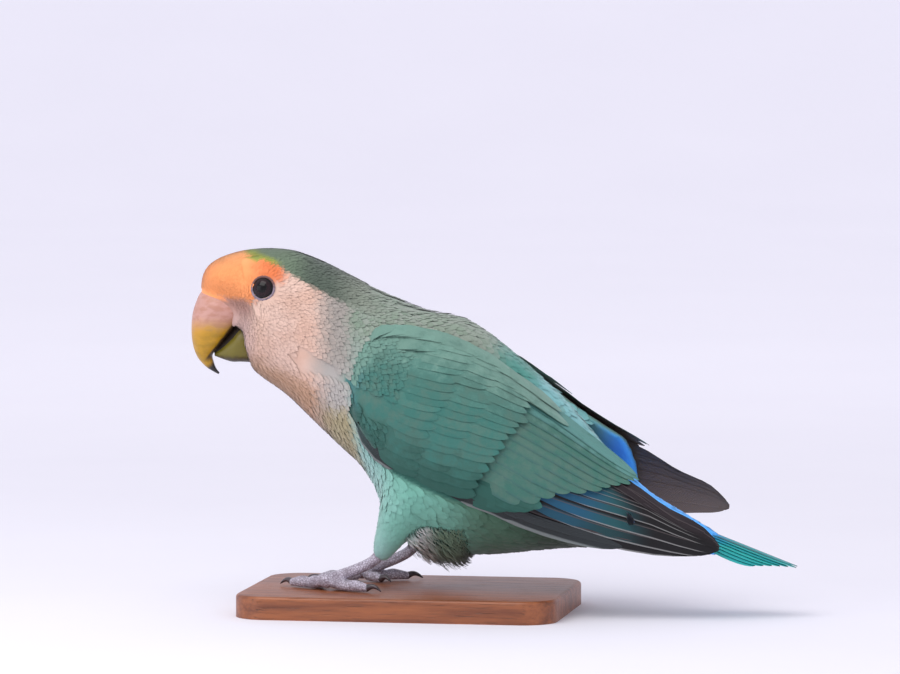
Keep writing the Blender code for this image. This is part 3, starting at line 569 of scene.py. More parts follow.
def plumage(finish, place, wing, surface):
    """The bird's markings at a place in millimetres, the same on the skin and on every feather."""
    x, y, z = finish.parts(place)
    on, along, across = finish.parts(wing)
    hx = (x - TURN_AXIS_X) * math.cos(HEAD_TURN) + y * math.sin(HEAD_TURN) + TURN_AXIS_X
    cloud = finish.noise(place, 0.16, 3.0)
    fleck = finish.noise(place, 0.7, 3.0, 0.6)
    wander = cloud * 3.0 + fleck * 1.6

    # Breast, belly and back
    # The belly grows darker towards the vent, partly its own darker green and partly painted shade under the
    # body
    under = finish.blend(paint(110, 168, 150), paint(68, 102, 82), (x + wander).step(2, 20))
    under = finish.blend(under, paint(42, 60, 44), (x + wander).step(20, 36))
    under = finish.blend(paint(150, 190, 184), under, (x + z * 0.2 + wander).step(-6, 8))
    under = finish.blend(under, paint(138, 152, 142), (z + wander).step(54, 62) * (x + wander).step(4, -4))
    mantle = finish.blend(paint(140, 150, 138), paint(122, 140, 122), (fleck + 0.5).step(0.3, 0.7))
    mantle = finish.blend(mantle, paint(78, 142, 130), (x + wander).step(16, 26))
    mantle = finish.blend(mantle, paint(122, 178, 178), (x + wander).step(28, 34))
    mantle = finish.blend(mantle, paint(84, 176, 255), (x + wander * 0.6).step(46, 54))
    body = finish.blend(under, mantle, (z + x * 0.66 + wander * 0.7).step(60, 68))

    # Cheeks, throat and the sides of the neck
    cheek = finish.blend(paint(210, 174, 154), paint(218, 186, 168), (cloud + 0.5).step(0.35, 0.65))
    cheek = finish.blend(cheek, paint(204, 172, 162), (hx + wander).step(-40, -44))
    # The throat's underside is a darker tan, partly its own colour and partly painted shade under the head
    cheek = finish.blend(cheek, paint(182, 144, 116), (z + hx * 0.5 + wander).step(50, 43))
    lore = (hx + wander * 0.6).step(-39.5, -44) * (z + wander * 0.6).step(74.5, 80.5)
    cheek = finish.blend(cheek, paint(158, 112, 96), lore * 0.8)
    collar = finish.blend(paint(152, 146, 138), paint(168, 164, 158), (z + wander).step(70, 60))
    breast_edge = (z + wander).step(58, 52) * (x + wander).step(-27, -21)
    collar = finish.blend(collar, paint(160, 150, 116), breast_edge)
    side = finish.blend(cheek, collar, (hx + wander).step(-29, -21))
    side = finish.blend(side, body, (x + z * 0.06 + wander * 0.8).step(-13.5, -8.5))

    # Forehead and crown
    brow = (z - (hx + 42.5).step(0, 5) * 4.5 + fleck * 1.2).step(80.4, 82.2)
    brow = brow * (hx + wander * 0.6).step(-32.6, -36.6)
    orange = finish.blend(paint(247, 158, 98), paint(222, 120, 70), (hx + wander).step(-44, -37))
    orange = finish.blend(orange, paint(250, 176, 112), (z - hx * 0.2 + wander).step(98, 104))
    side = finish.blend(side, orange, brow)
    red_spot = finish.distance(place, head_turned(RED_SPOT)).step(1.5, 0.6)
    side = finish.blend(side, paint(186, 104, 86), red_spot)
    crown_colour = finish.blend(paint(102, 120, 98), paint(80, 92, 80), (hx + wander).step(-34, -26))
    crown_colour = finish.blend(crown_colour, paint(122, 130, 116), (hx + wander).step(-24, -14))
    crown_line = z + hx * 0.45 + wander * 0.35
    green_edge = crown_line.step(75.8, 73.8) * hx.step(-34, -38)
    crown_colour = finish.blend(crown_colour, paint(140, 150, 62), green_edge)
    crown = crown_line.step(72.4, 74.0)
    crown_back = finish.blend(crown_colour, body, (x + wander).step(-16, -4))
    feathers = finish.blend(side, crown_back, crown)

    # The wings' coverts, lighter over the shoulder and darker along the lower edge
    mottle = finish.noise(surface, 0.26, 6.0, 0.66)
    teal = finish.blend(paint(56, 110, 100), paint(76, 112, 100), (mottle + fleck * 0.4).step(-0.14, 0.22))
    teal = finish.blend(teal, paint(66, 118, 116), (along + mottle * 2).step(1.4, 0.4))
    teal = finish.blend(teal, paint(104, 140, 126), (across + mottle * 0.8).step(0.36, 0.0))
    teal = finish.blend(teal, paint(40, 86, 76), (across + mottle * 0.5).step(0.62, 0.94))
    return finish.blend(feathers, teal, on)


feathered = Finish(
    "soft_plumage", Roughness=0.82, Sheen_Weight=0.25, Sheen_Roughness=0.5, Specular_IOR_Level=0.25,
)
root_place, wing_place = feathered.attribute("root"), feathered.attribute("wing")
across, along, draw = feathered.parts(feathered.attribute("vane"))
tone = 0.93 + draw * 0.12 + along * 0.1 - (1.0 - along.step(0.0, 0.35)) * 0.1
markings = plumage(feathered, root_place, wing_place, place_in_mm(feathered))
feathered.link(Base_Color=feathered.shade(markings, tone))


def name_attribute(mesh, name, values):
    """Stores one vector a point under that name."""
    made = mesh.attributes.new(name, "FLOAT_VECTOR", "POINT")
    made.data.foreach_set("vector", np.ascontiguousarray(values, np.float32).ravel())


skin = piece("skin", skin_bm, feathered.material, FLESH, 180)
name_attribute(skin.data, "root", skin_points)
name_attribute(skin.data, "wing", on_wing(skin_points))
name_attribute(skin.data, "vane", np.full(skin_points.shape, 0.5))


# The bill
# A strong hooked bill of horn: flesh-pink and soft at its root, ochre below and dark at the
# tip, with a painted shadow along its cutting edge. The lower half is shorter, and its edge meets the upper
# one.
UPPER_BILL = np.array((
    (-53.4, 84.2, -42.0, 77.6, 5.9), (-54.9, 82.8, -43.6, 76.4, 6.4), (-55.8, 81.1, -44.8, 75.6, 6.6),
    (-56.9, 77.8, -46.4, 73.4, 6.2), (-57.3, 73.8, -48.4, 70.9, 5.5), (-57.0, 69.6, -50.4, 68.4, 4.4),
    (-55.8, 66.1, -51.8, 66.6, 3.0), (-53.7, 63.6, -51.5, 64.7, 1.8), (-51.8, 62.3, -50.9, 63.1, 0.95),
    (-50.3, 61.5, -50.0, 61.9, 0.35),
))
LOWER_BILL = np.array((
    (-40.4, 76.6, -40.4, 64.6, 4.6), (-44.4, 75.0, -44.4, 64.8, 4.9), (-46.6, 72.6, -46.6, 64.8, 4.5),
    (-48.8, 70.2, -48.8, 65.4, 3.4), (-51.3, 67.6, -51.2, 66.3, 1.6),
))
BILL_SQUARENESS = 2.8
MOUTH_GAP = 0.4
NOSTRIL = (-51.6, 3.9, 82.6)
NOSTRIL_RADIUS, NOSTRIL_DEPTH = 0.6, 0.5
BILL_TIP = (-50.0, 0.0, 61.6)


def bill_rings(stations, steps, sides, sink=0.0):
    """Rings of the bill in finer steps than its stations, with the upper line lowered by sink."""
    rings = []
    places = np.linspace(0, len(stations) - 1, steps)
    for back_x, back_z, front_x, front_z, half_width in through(stations, places):
        upper, lower = Vector((back_x, 0, back_z)), Vector((front_x, 0, front_z))
        upper = upper.lerp(lower, min(sink / (upper - lower).length, 0.6))
        centre, half = (upper + lower) / 2, (upper - lower) / 2
        ring = []
        for i in range(sides):
            angle = 2 * math.pi * i / sides
            up, out = math.cos(angle), math.sin(angle)
            if up < 0:
                up, out = (math.copysign(abs(part) ** (2 / BILL_SQUARENESS), part) for part in (up, out))
            ring.append(head_turned(centre + half * up + Vector((0, half_width * out, 0))))
        rings.append(ring)
    return rings


horn = Finish("horn", Roughness=0.42, Coat_Weight=0.1, Coat_Roughness=0.25)
horn_place = place_in_mm(horn)
horn_x, horn_y, horn_z = horn.parts(horn_place)
head_x = (horn_x - TURN_AXIS_X) * math.cos(HEAD_TURN) + horn_y * math.sin(HEAD_TURN) + TURN_AXIS_X
layers = horn.node("Mapping", None, {"Vector": horn_place, "Scale": (0.4, 0.4, 0.9)})
growth = horn.noise(layers, 1.0, 4.0)
ochre = horn.blend(paint(190, 142, 20), paint(168, 128, 14), (growth + 0.5).step(0.3, 0.7))
arch = (head_x + growth).step(-52, -56) * (horn_z + growth).step(68, 76)
ochre = horn.blend(ochre, paint(206, 148, 34), arch)
ochre = horn.blend(ochre, paint(130, 116, 26), (head_x - horn_z * 0.35 + growth * 2).step(-74.6, -70.4))
flesh = horn.blend(paint(196, 148, 134), paint(184, 132, 112), (growth + 0.5).step(0.35, 0.65))
flesh = horn.blend(flesh, paint(160, 112, 92), (head_x + growth).step(-47.5, -43.5))
root_share = (horn_z + growth * 3.0).step(72.0, 77.2)
upper_tone = horn.blend(ochre, flesh, root_share)
# A dark brown band along the upper half's cutting edge is painted shadow of the recess where the lower half
# fits under it
painted_gape_shadow = (horn_z - head_x * 1.27 + growth * 0.8).step(134.2, 133.2)
upper_tone = horn.blend(upper_tone, paint(62, 42, 22), painted_gape_shadow * horn_z.step(64.5, 66.5))
from_tip = horn.distance(horn_place, head_turned(BILL_TIP))
upper_tone = horn.blend(upper_tone, paint(36, 33, 32), (from_tip + growth).step(4.6, 3.0))
horn.link(Base_Color=upper_tone, Normal=horn.bump(growth, 0.0001))

upper_bill = bmesh.new()
loft(upper_bill, bill_rings(UPPER_BILL, 64, 48))
for side in (LEFT, RIGHT):
    x, y, z = NOSTRIL
    nostril = head_turned((x, side * y, z))
    for vert in upper_bill.verts:
        near = math.exp(-((vert.co - nostril).length / NOSTRIL_RADIUS) ** 2)
        vert.co -= (nostril - head_turned((x + 3, 0, z - 3))).normalized() * near * NOSTRIL_DEPTH
upper_bill_tree = BVHTree.FromBMesh(upper_bill)
piece("upper_bill", upper_bill, horn.material, ["bill_upper"], 60)

dark_horn = Finish("olive_horn", Roughness=0.45, Coat_Weight=0.08, Coat_Roughness=0.3)
dark_place = place_in_mm(dark_horn)
_, _, dark_z = dark_horn.parts(dark_place)
dark_growth = dark_horn.noise(dark_place, 0.7, 3.0)
olive = dark_horn.blend(paint(108, 98, 20), paint(106, 96, 38), (dark_z + dark_growth * 3).step(69.5, 73.5))
olive = dark_horn.blend(olive, paint(58, 46, 20), (dark_z + dark_growth).step(67.0, 65.4))
dark_horn.link(Base_Color=olive, Normal=dark_horn.bump(dark_growth, 0.0001))
lower_bill = bmesh.new()
loft(lower_bill, bill_rings(LOWER_BILL, 32, 40, MOUTH_GAP))
lower_bill_tree = BVHTree.FromBMesh(lower_bill)
piece("lower_bill", lower_bill, dark_horn.material, ["bill_lower"], 60)

# The mouth's dark lining shows between the two halves. Its dark colour is partly the mouth's own and partly
# painted shade in the gap.
mouth = Finish("mouth_lining", Roughness=0.6)
mouth_tone = mouth.noise(place_in_mm(mouth), 0.9, 2.0)
mouth.link(Base_Color=mouth.blend(paint(30, 21, 14), paint(44, 30, 18), mouth_tone + 0.5))
lining = bmesh.new()
loft(lining, bill_rings(LOWER_BILL * (1, 1, 1, 1, 0.8) + (-0.4, 0.5, 0, 0.6, 0), 24, 24))
piece("mouth_lining", lining, mouth.material, (), 60)


# The body plumage
# Thousands of small soft feathers, each a thin closed vane, lie over the skin from the bill
# backwards. They are smallest round the bill and eyes, and longest on the back and belly.
SPINE = np.array((
    (-52.0, 82.0), (-44.0, 80.0), (-35.0, 77.5), (-24.0, 71.5), (-12.0, 64.0), (4.0, 54.5),
    (20.0, 43.5), (36.0, 35.0), (52.0, 28.5), (66.0, 23.3), (84.0, 18.0),
))
SPINE_RUNS = SPINE[1:] - SPINE[:-1]
SPINE_LENGTHS = np.linalg.norm(SPINE_RUNS, axis=1)
SPINE_STARTS = np.concatenate(([0], np.cumsum(SPINE_LENGTHS)))
# Feather length at distances along the spine from the bill, and the shares of it that make
# a feather's width and the distance from one root to the next
PLUME_AT = (0, 8, 18, 30, 45, 63, 100, 130, 150)
PLUME_LENGTHS = (1.2, 1.6, 2.2, 2.9, 3.8, 4.8, 5.6, 6.6, 7.0)
PLUME_WIDTH, PLUME_SPACING = 0.46, 0.21
BANDS = (
    ("face_feathers_small", "face_feathers", 0, 16.5),
    ("cheek_and_crown_feathers", "face_feathers", 16.5, 25),
    ("nape_feathers", "neck_feathers", 25, 35),
    ("neck_feathers_small", "neck_feathers", 35, 56),
    ("breast_and_back_feathers", "body_feathers", 56, 92),
    ("belly_and_rump_feathers", "body_feathers", 92, 137),
)
BILL_ROOT = (-50.0, 0.0, 79.0)
EYE_AXIS = (-0.24, 0.95, 0.18)
EYE_CLEAR = 3.3
RNG = np.random.default_rng(11)
THIGH_LINE = ((3.0, 11.5, 34.0), (-6.0, 11.6, 13.9))
RIGHT_LEG_BACK = 5.0


def eye_places(side):
    """The eye's centre and the direction it looks, on that side of the head."""
    low, high = (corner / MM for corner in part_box("eye_left" if side == LEFT else "eye_right"))
    x, y, z = EYE_AXIS
    return (low + high) / 2, (head_turned((x, side * y, z)) - head_turned((0, 0, 0))).normalized()


def spine_place(points):
    """How far along the spine each point is, and its angle round it from the back."""
    best = np.full(len(points), 1e9)
    along, around = np.zeros(len(points)), np.zeros(len(points))
    for start, run, length, before in zip(SPINE, SPINE_RUNS, SPINE_LENGTHS, SPINE_STARTS):
        share = np.clip((points[:, (0, 2)] - start) @ run / length**2, 0, 1)
        away = points[:, (0, 2)] - start - share[:, None] * run
        distance = np.hypot(np.linalg.norm(away, axis=1), points[:, 1])
        nearer = distance < best
        best = np.where(nearer, distance, best)
        along = np.where(nearer, before + share * length, along)
        rise = away @ np.array((-run[1], run[0])) / length
        around = np.where(nearer, np.arctan2(points[:, 1], rise), around)
    return along, around


def leg_line(side):
    """Top and bottom of the thigh on that side."""
    return [np.array((x + (RIGHT_LEG_BACK if side == RIGHT else 0), side * y, z)) for x, y, z in THIGH_LINE]


def off_leg(points, side):
    """Distance from the thigh's line, and the share of the way down it."""
    top, bottom = leg_line(side)
    run = bottom - top
    share = np.clip((points - top) @ run / (run @ run), 0, 1)
    return np.linalg.norm(points - top - share[:, None] * run, axis=1), share


def lie(points, normals):
    """The direction that the feathers lie in at each point of the skin."""
    along, _ = spine_place(points)
    middles = SPINE_STARTS[:-1] + SPINE_LENGTHS / 2
    runs = SPINE_RUNS / SPINE_LENGTHS[:, None]
    flow = np.stack([np.interp(along, middles, runs[:, 0]), np.zeros(len(points)),
                     np.interp(along, middles, runs[:, 1])], axis=1)
    from_bill = unit(points - np.array(head_turned(BILL_ROOT)))
    face = smoothstep((30 - along) / 16)[:, None]
    flow = unit(flow * (1 - face) + from_bill * face)
    for side in (LEFT, RIGHT):
        distance, share = off_leg(points, side)
        on_leg = smoothstep((10.5 - distance) / 3) * smoothstep((share - 0.12) * 3)
        top, bottom = leg_line(side)
        flow = flow * (1 - on_leg[:, None]) + unit(bottom - top) * on_leg[:, None]
        centre, _ = eye_places(side)
        away = points - np.array(centre)
        near = smoothstep((9.0 - np.linalg.norm(away, axis=1)) / 5)[:, None]
        flow = flow + unit(away) * near * 1.1
    flow -= normals * np.sum(flow * normals, axis=1, keepdims=True)
    return unit(flow)


def on_skin(points):
    """The nearest points of the body's skin, and the outward directions there."""
    found = [skin_tree.find_nearest(point)[0::2] for point in points.tolist()]
    places = np.array([place for place, _ in found])
    corners = skin_corners[[index for _, index in found]]
    weights = 1 / (np.linalg.norm(skin_points[corners] - places[:, None], axis=2) + 0.05)
    return places, unit(np.sum(skin_normals[corners] * weights[..., None], axis=1))


def strewn(wanted, spacing):
    """Roots on the part of the body's skin that is wanted, no two nearer than the spacing there."""
    corners = skin_corners[wanted(skin_points[skin_corners].mean(axis=1))]
    a, b, c = (skin_points[corners[:, i]] for i in range(3))
    areas = np.linalg.norm(np.cross(b - a, c - a), axis=1) / 2
    tightest = spacing((a + b + c) / 3)
    count = int(4.5 * np.sum(areas / tightest**2))
    chosen = RNG.choice(len(areas), count, p=areas / tightest**2 / np.sum(areas / tightest**2))
    s, t = RNG.random(count), RNG.random(count)
    s, t = np.where(s + t > 1, 1 - s, s), np.where(s + t > 1, 1 - t, t)
    points = a[chosen] + (b - a)[chosen] * s[:, None] + (c - a)[chosen] * t[:, None]
    reach = spacing(points)
    size = reach.max()
    cells, kept = {}, []
    keys = np.floor(points / size).astype(int).tolist()
    steps = [(i, j, k) for i in (-1, 0, 1) for j in (-1, 0, 1) for k in (-1, 0, 1)]
    for index, (place, (i, j, k), apart) in enumerate(zip(points.tolist(), keys, (reach**2).tolist())):
        x, y, z = place
        near = (other for u, v, w in steps for other in cells.get((i + u, j + v, k + w), ()))
        if all((x - p) ** 2 + (y - q) ** 2 + (z - r) ** 2 >= apart for p, q, r in near):
            cells.setdefault((i, j, k), []).append(place)
            kept.append(index)
    return points[kept]


def vane_pattern(rows, section):
    """A closed vane of unit size: x across from -1 to 1, y along it from 0 to 1, z its thickness."""
    bm = bmesh.new()
    loft(bm, [[(u * width, along, h) for u, h in section] for along, width in rows])
    points, corners, _ = arrays_of(bm)
    bm.free()
    return points, corners


SMALL_ROWS = ((0.0, 0.5), (0.45, 1.0), (0.82, 0.72), (1.0, 0.1))
SMALL_VANE = vane_pattern(SMALL_ROWS, ((-1, 0), (1, 0), (0, -1)))
BODY_ROWS = ((0.0, 0.45), (0.4, 0.95), (0.72, 0.95), (0.91, 0.6), (1.0, 0.1))
BODY_VANE = vane_pattern(BODY_ROWS, ((-1, -0.6), (0, 0.4), (1, -0.6), (0, -1)))
PATCH = 0.003  # each feather's width on the map that its colours are baked by


def shaped(pattern, spines, normals, widths, thickness, lifts, cup=0.0):
    """Bends the pattern along spines of three points with three outward directions each."""
    u, t, h = pattern[0].T
    shares = np.stack([(1 - t) * (1 - 2 * t), 4 * t * (1 - t), t * (2 * t - 1)])
    slopes = np.stack([4 * t - 3, 4 - 8 * t, 4 * t - 1])
    middle = np.einsum("kv,fkc->fvc", shares, spines)
    run = unit(np.einsum("kv,fkc->fvc", slopes, spines))
    outward = unit(np.einsum("kv,fkc->fvc", shares, normals))
    side = unit(np.cross(run, outward))
    sunk, raised = (np.reshape(lift, (-1, 1)) for lift in lifts)
    height = sunk + (raised - sunk) * t**0.8 + h * thickness - cup * widths[:, None] * u**2
    points = middle + side * (u * widths[:, None])[..., None] + outward * height[..., None]
    return points, unit(outward + side * (u * 0.25)[:, None])


def feather_piece(
    name, pattern, points, normals, roots, unwrapped, material, replaced=(), draws=None,
):
    """Many feathers as one mesh, with their roots' places, their own shares and their UV patches."""
    count, verts = points.shape[:2]
    a, b, c = (points[:, pattern[1][:, i]] for i in range(3))
    mirrored = np.sum((a - points[:, :1]) * np.cross(b - a, c - a), axis=(1, 2)) < 0
    corners = np.where(mirrored[:, None, None], pattern[1][:, ::-1], pattern[1])
    corners = (corners + np.arange(count)[:, None, None] * verts).reshape(-1, 3)
    mesh = bpy.data.meshes.new(name)
    mesh.vertices.add(count * verts)
    mesh.vertices.foreach_set("co", (points * MM).astype(np.float32).ravel())
    mesh.loops.add(corners.size)
    mesh.loops.foreach_set("vertex_index", corners.astype(np.int32).ravel())
    mesh.polygons.add(len(corners))
    mesh.polygons.foreach_set("loop_start", np.arange(0, corners.size, 3, dtype=np.int32))
    mesh.update(calc_edges=True)
    mesh.shade_smooth()
    if normals is None:
        mesh.set_sharp_from_angle(angle=math.radians(50))
    else:
        mesh.normals_split_custom_set_from_vertices(normals.reshape(-1, 3).astype(np.float32))
    u, t, _ = pattern[0].T
    draws = RNG.random(count) if draws is None else draws
    vane = np.stack(np.broadcast_arrays(u[None], t[None], draws[:, None]), axis=2)
    name_attribute(mesh, "root", np.repeat(roots, verts, axis=0))
    name_attribute(mesh, "wing", np.repeat(on_wing(roots), verts, axis=0))
    name_attribute(mesh, "vane", vane)
    patch = np.stack([u * 0.5, t - 0.5], axis=1) * PATCH
    patches = (unwrapped[:, None] + patch[None]).reshape(-1, 2)
    bake_map = mesh.uv_layers.new(name="OFBake").uv
    bake_map.foreach_set("vector", patches[corners.ravel()].astype(np.float32).ravel())
    return set_in_frame(name, mesh, material, replaced)


def lay_on_skin(roots, lengths, wander_angle=0.09):
    """Three points along each feather on the skin from its root, and the outward directions."""
    places, outward = on_skin(roots)
    way = lie(places, outward)
    turn = RNG.normal(0, wander_angle, len(roots))[:, None]
    way = way * np.cos(turn) + np.cross(outward, way) * np.sin(turn)
    spines, normals = [places], [outward]
    for _ in range(2):
        straight = places + way * lengths[:, None] / 2
        places, ahead = on_skin(straight)
        astray = np.linalg.norm(places - straight, axis=1) > 0.3 * lengths
        astray |= np.sum(ahead * normals[-1], axis=1) < 0.5
        places[astray], ahead[astray] = straight[astray], normals[-1][astray]
        way = unit(way - ahead * np.sum(way * ahead, axis=1, keepdims=True))
        spines.append(places)
        normals.append(ahead)
    return np.stack(spines, axis=1), np.stack(normals, axis=1)


def plume_length(points):
    along, _ = spine_place(points)
    length = np.interp(along, PLUME_AT, PLUME_LENGTHS)
    for side in (LEFT, RIGHT):
        distance, share = off_leg(points, side)
        on_leg = smoothstep((10 - distance) / 3) * smoothstep((share - 0.1) * 3)
        length = length * (1 - on_leg) + (3.6 - 1.4 * share) * on_leg
    return length


eyes = [eye_places(side) for side in (LEFT, RIGHT)]


def uncovered(place, covered):
    """Whether a feather can root there: not under the bill, an eyelid or the wings' long vanes."""
    place = Vector(place)
    for tree in (upper_bill_tree, lower_bill_tree):
        nearest, facing, _, _ = tree.find_nearest(place)
        if (place - nearest).dot(facing) < 0.1:
            return False
    for centre, axis in eyes:
        away = place - centre
        if away.length < 7 and (away - axis * away.dot(axis)).length < EYE_CLEAR:
            return False
    on, along, across = covered
    return on == 0 or (on < 0.5 and across < 0.5) or (along < 2.9 and across < 0.93)


def between(points, start, end):
    """Whether each point's distance along the spine is between the two."""
    along, _ = spine_place(points)
    return (along >= start) & (along < end)


def spread_out(roots, start, end):
    """Where roots between two distances along the spine lie on the skin's own unwrap."""
    along, around = spine_place(roots)
    shares = np.stack([(along - start) / (end - start), around / (2 * math.pi) + 0.5], axis=1)
    return 0.02 + 0.96 * shares


def unfolded(spines, least):
    """Whether each feather bends so little that it lies flat. A folded one would stand out."""
    runs = unit(np.diff(spines, axis=1))
    return np.sum(runs[:, 0] * runs[:, 1], axis=1) > least


for band, (name, slot_name, start, end) in enumerate(BANDS):
    roots = strewn(
        lambda points: between(points, start, end), lambda points: plume_length(points) * PLUME_SPACING,
    )
    roots = roots[[uncovered(*pair) for pair in zip(roots.tolist(), on_wing(roots).tolist())]]
    lengths = plume_length(roots) * RNG.uniform(0.85, 1.15, len(roots))
    widths = lengths * PLUME_WIDTH / 2 * RNG.uniform(0.9, 1.1, len(roots))
    spines, normals = lay_on_skin(roots, lengths)
    on, along, across = on_wing(spines[:, 2]).T
    clear_of_wings = (on == 0) | (along < 2.9) | (across < 0.5)
    _, around = spine_place(roots)
    beside_rump = (roots[:, 0] >= 36) & (np.cos(around) >= 0.2)
    beside_rump &= np.abs(roots[:, 1]) >= 12 - 0.16 * roots[:, 0]
    kept = unfolded(spines, 0.6) & clear_of_wings & ~beside_rump
    roots, lengths, widths, spines, normals = (
        part[kept] for part in (roots, lengths, widths, spines, normals)
    )
    pattern, thickness = (SMALL_VANE, 0.08) if band < 4 else (BODY_VANE, 0.12)
    points, shading = shaped(pattern, spines, normals, widths, thickness, (-0.25, 0.2 + 0.06 * lengths))
    feather_piece(
        name, pattern, points, shading, roots, spread_out(roots, start, end), feathered.material,
    )


# The eyes
# Round dark brown eyes, nearly black, with a wet clear surface. Each sits in its socket
# under a thin ring of bare grey-white skin, the lids, which has fine folds.
EYE_RADIUS, IRIS_RADIUS, PUPIL_RADIUS = 3.3, 2.3, 1.35
LID_RADIUS, LID_THICKNESS, LID_OUT = 2.98, 0.32, 1.75

lid_skin = Finish("lid_skin", Roughness=0.55)
lid_place = place_in_mm(lid_skin)
lid_cloud = lid_skin.noise(lid_place, 1.6, 3.0)
lid_tone = lid_skin.blend(paint(142, 128, 140), paint(104, 88, 98), (lid_cloud + 0.5).step(0.4, 0.7))
_, _, lid_z = lid_skin.parts(lid_place)
lid_skin.link(
    Base_Color=lid_skin.blend(lid_tone, paint(112, 78, 72), (lid_z + lid_cloud).step(84.0, 86.6)),
    Normal=lid_skin.bump(lid_skin.noise(lid_place, 4.5, 2.0), 0.00015),
)
for side, word in ((LEFT, "left"), (RIGHT, "right")):
    centre, axis = eye_places(side)
    eye = Finish("eye_" + word, Roughness=0.05, Specular_IOR_Level=0.25)
    eye_place = place_in_mm(eye)
    from_centre = eye.node("VectorMath", {"operation": "SUBTRACT"}, {0: eye_place, 1: centre})
    ahead = eye.node("VectorMath", {"operation": "DOT_PRODUCT"}, {0: from_centre, 1: axis}, "Value")
    iris_edge = math.sqrt(EYE_RADIUS**2 - IRIS_RADIUS**2)
    pupil_edge = math.sqrt(EYE_RADIUS**2 - PUPIL_RADIUS**2)
    iris = ahead.step(iris_edge - 0.12, iris_edge + 0.12) * ahead.step(pupil_edge + 0.05, pupil_edge - 0.05)
    fibres = eye.noise(eye_place, 5.0, 3.0)
    brown = eye.blend(paint(44, 26, 30), paint(26, 14, 18), (fibres + 0.5).step(0.3, 0.7))
    eye.link(Base_Color=eye.blend(paint(9, 7, 9), brown, iris))
    ball = bmesh.new()
    bmesh.ops.create_uvsphere(ball, u_segments=40, v_segments=24, radius=EYE_RADIUS)
    bmesh.ops.rotate(ball, matrix=axis.to_track_quat("Z", "Y").to_matrix(), verts=ball.verts)
    bmesh.ops.translate(ball, vec=centre, verts=ball.verts)
    piece("eyeball_" + word, ball, eye.material, ["eye_" + word], 180)

    lid = bmesh.new()
    rim = bmesh.ops.create_circle(lid, segments=12, radius=LID_THICKNESS)["verts"]
    bmesh.ops.rotate(lid, matrix=Matrix.Rotation(math.pi / 2, 3, "X"), verts=rim)
    bmesh.ops.scale(lid, vec=(1.0, 1.0, 0.75), verts=rim)
    bmesh.ops.translate(lid, vec=(LID_RADIUS, 0, 0), verts=rim)
    bmesh.ops.spin(
        lid, geom=lid.verts[:] + lid.edges[:], cent=(0, 0, 0), axis=(0, 0, 1), angle=2 * math.pi,
        steps=64, use_merge=True,
    )
    bmesh.ops.remove_doubles(lid, verts=lid.verts, dist=0.01)
    bmesh.ops.recalc_face_normals(lid, faces=lid.faces)
    for vert in lid.verts:
        angle = math.atan2(vert.co.y, vert.co.x)
        vert.co *= 1 + 0.012 * math.sin(angle * 19) + 0.01 * math.sin(angle * 31)
    bmesh.ops.rotate(lid, matrix=axis.to_track_quat("Z", "Y").to_matrix(), verts=lid.verts)
    bmesh.ops.translate(lid, vec=centre + axis * LID_OUT, verts=lid.verts)
    piece("eyelids_" + word, lid, lid_skin.material, (), 180)


# The legs and feet
# Short legs and thick toes, two forwards and two back, in lilac-grey skin. Scutes lie across
# the top of each toe and soft pads under it, and each toe ends in a dark curved claw.
HEEL, TOE_ROOT = (-7.6, -11.7, 13.9), (-20.0, -11.4, 8.6)
TARSUS_RADII = (1.35, 1.5, 1.4, 1.45, 1.6)
KNEE = (-3.6, -11.6, 21.0)  # inside the thigh
SOLE_Z = 6.3
# Heading, length, radius and claw length of each toe
TOES = ((62.0, 9.5, 1.4, 4.2), (32.0, 12.5, 1.55, 4.6), (199.0, 12.5, 1.5, 4.4), (146.0, 7.5, 1.35, 3.8))
TOE_SWELLS = (1.0, 0.92, 1.08, 0.86, 1.0, 0.82, 0.62)
SCUTE_LENGTH, SCUTE_HEIGHT = 0.85, 0.1
CLAW_ARCH = 0.9
FOOT_VOXEL = 0.2


def leg_point(point, side):
    x, y, z = point
    return Vector((x + (RIGHT_LEG_BACK if side == RIGHT else 0), y if side == LEFT else -y, z))


def rod(bm, points, radii, sides=16, scutes=0.0):
    """A round rod through the points, with scutes across its upper side."""
    rings = []
    travelled = 0.0
    for i, (point, radius) in enumerate(zip(points, radii)):
        before, beyond = points[max(i - 1, 0)], points[min(i + 1, len(points) - 1)]
        travelled += (point - before).length
        run = (beyond - before).normalized()
        across = run.cross(Vector((0, 0, 1))).normalized()
        up = across.cross(run)
        ridge = scutes * abs(math.sin(math.pi * travelled / SCUTE_LENGTH))
        ring = []
        for j in range(sides):
            angle = 2 * math.pi * j / sides
            reach = radius + ridge * max(math.sin(angle), 0)
            ring.append(point + (across * math.cos(angle) + up * math.sin(angle)) * reach)
        rings.append(ring)
    loft(bm, rings)


def toe_line(toe, root, side, steps=50):
    heading, length, radius, _ = toe
    heading = math.radians(heading)
    forward = Vector((-math.cos(heading), -side * math.sin(heading), 0))
    shares = np.linspace(0, 1, steps)
    swells = np.interp(shares, np.linspace(0, 1, len(TOE_SWELLS)), TOE_SWELLS) * radius
    drops = smoothstep(shares * 2.2)
    heights = (SOLE_Z + swells * 0.92) * drops + root.z * (1 - drops)
    line = [Vector((root.x, root.y, h)) + forward * length * s for s, h in zip(shares, heights)]
    return line, swells, forward


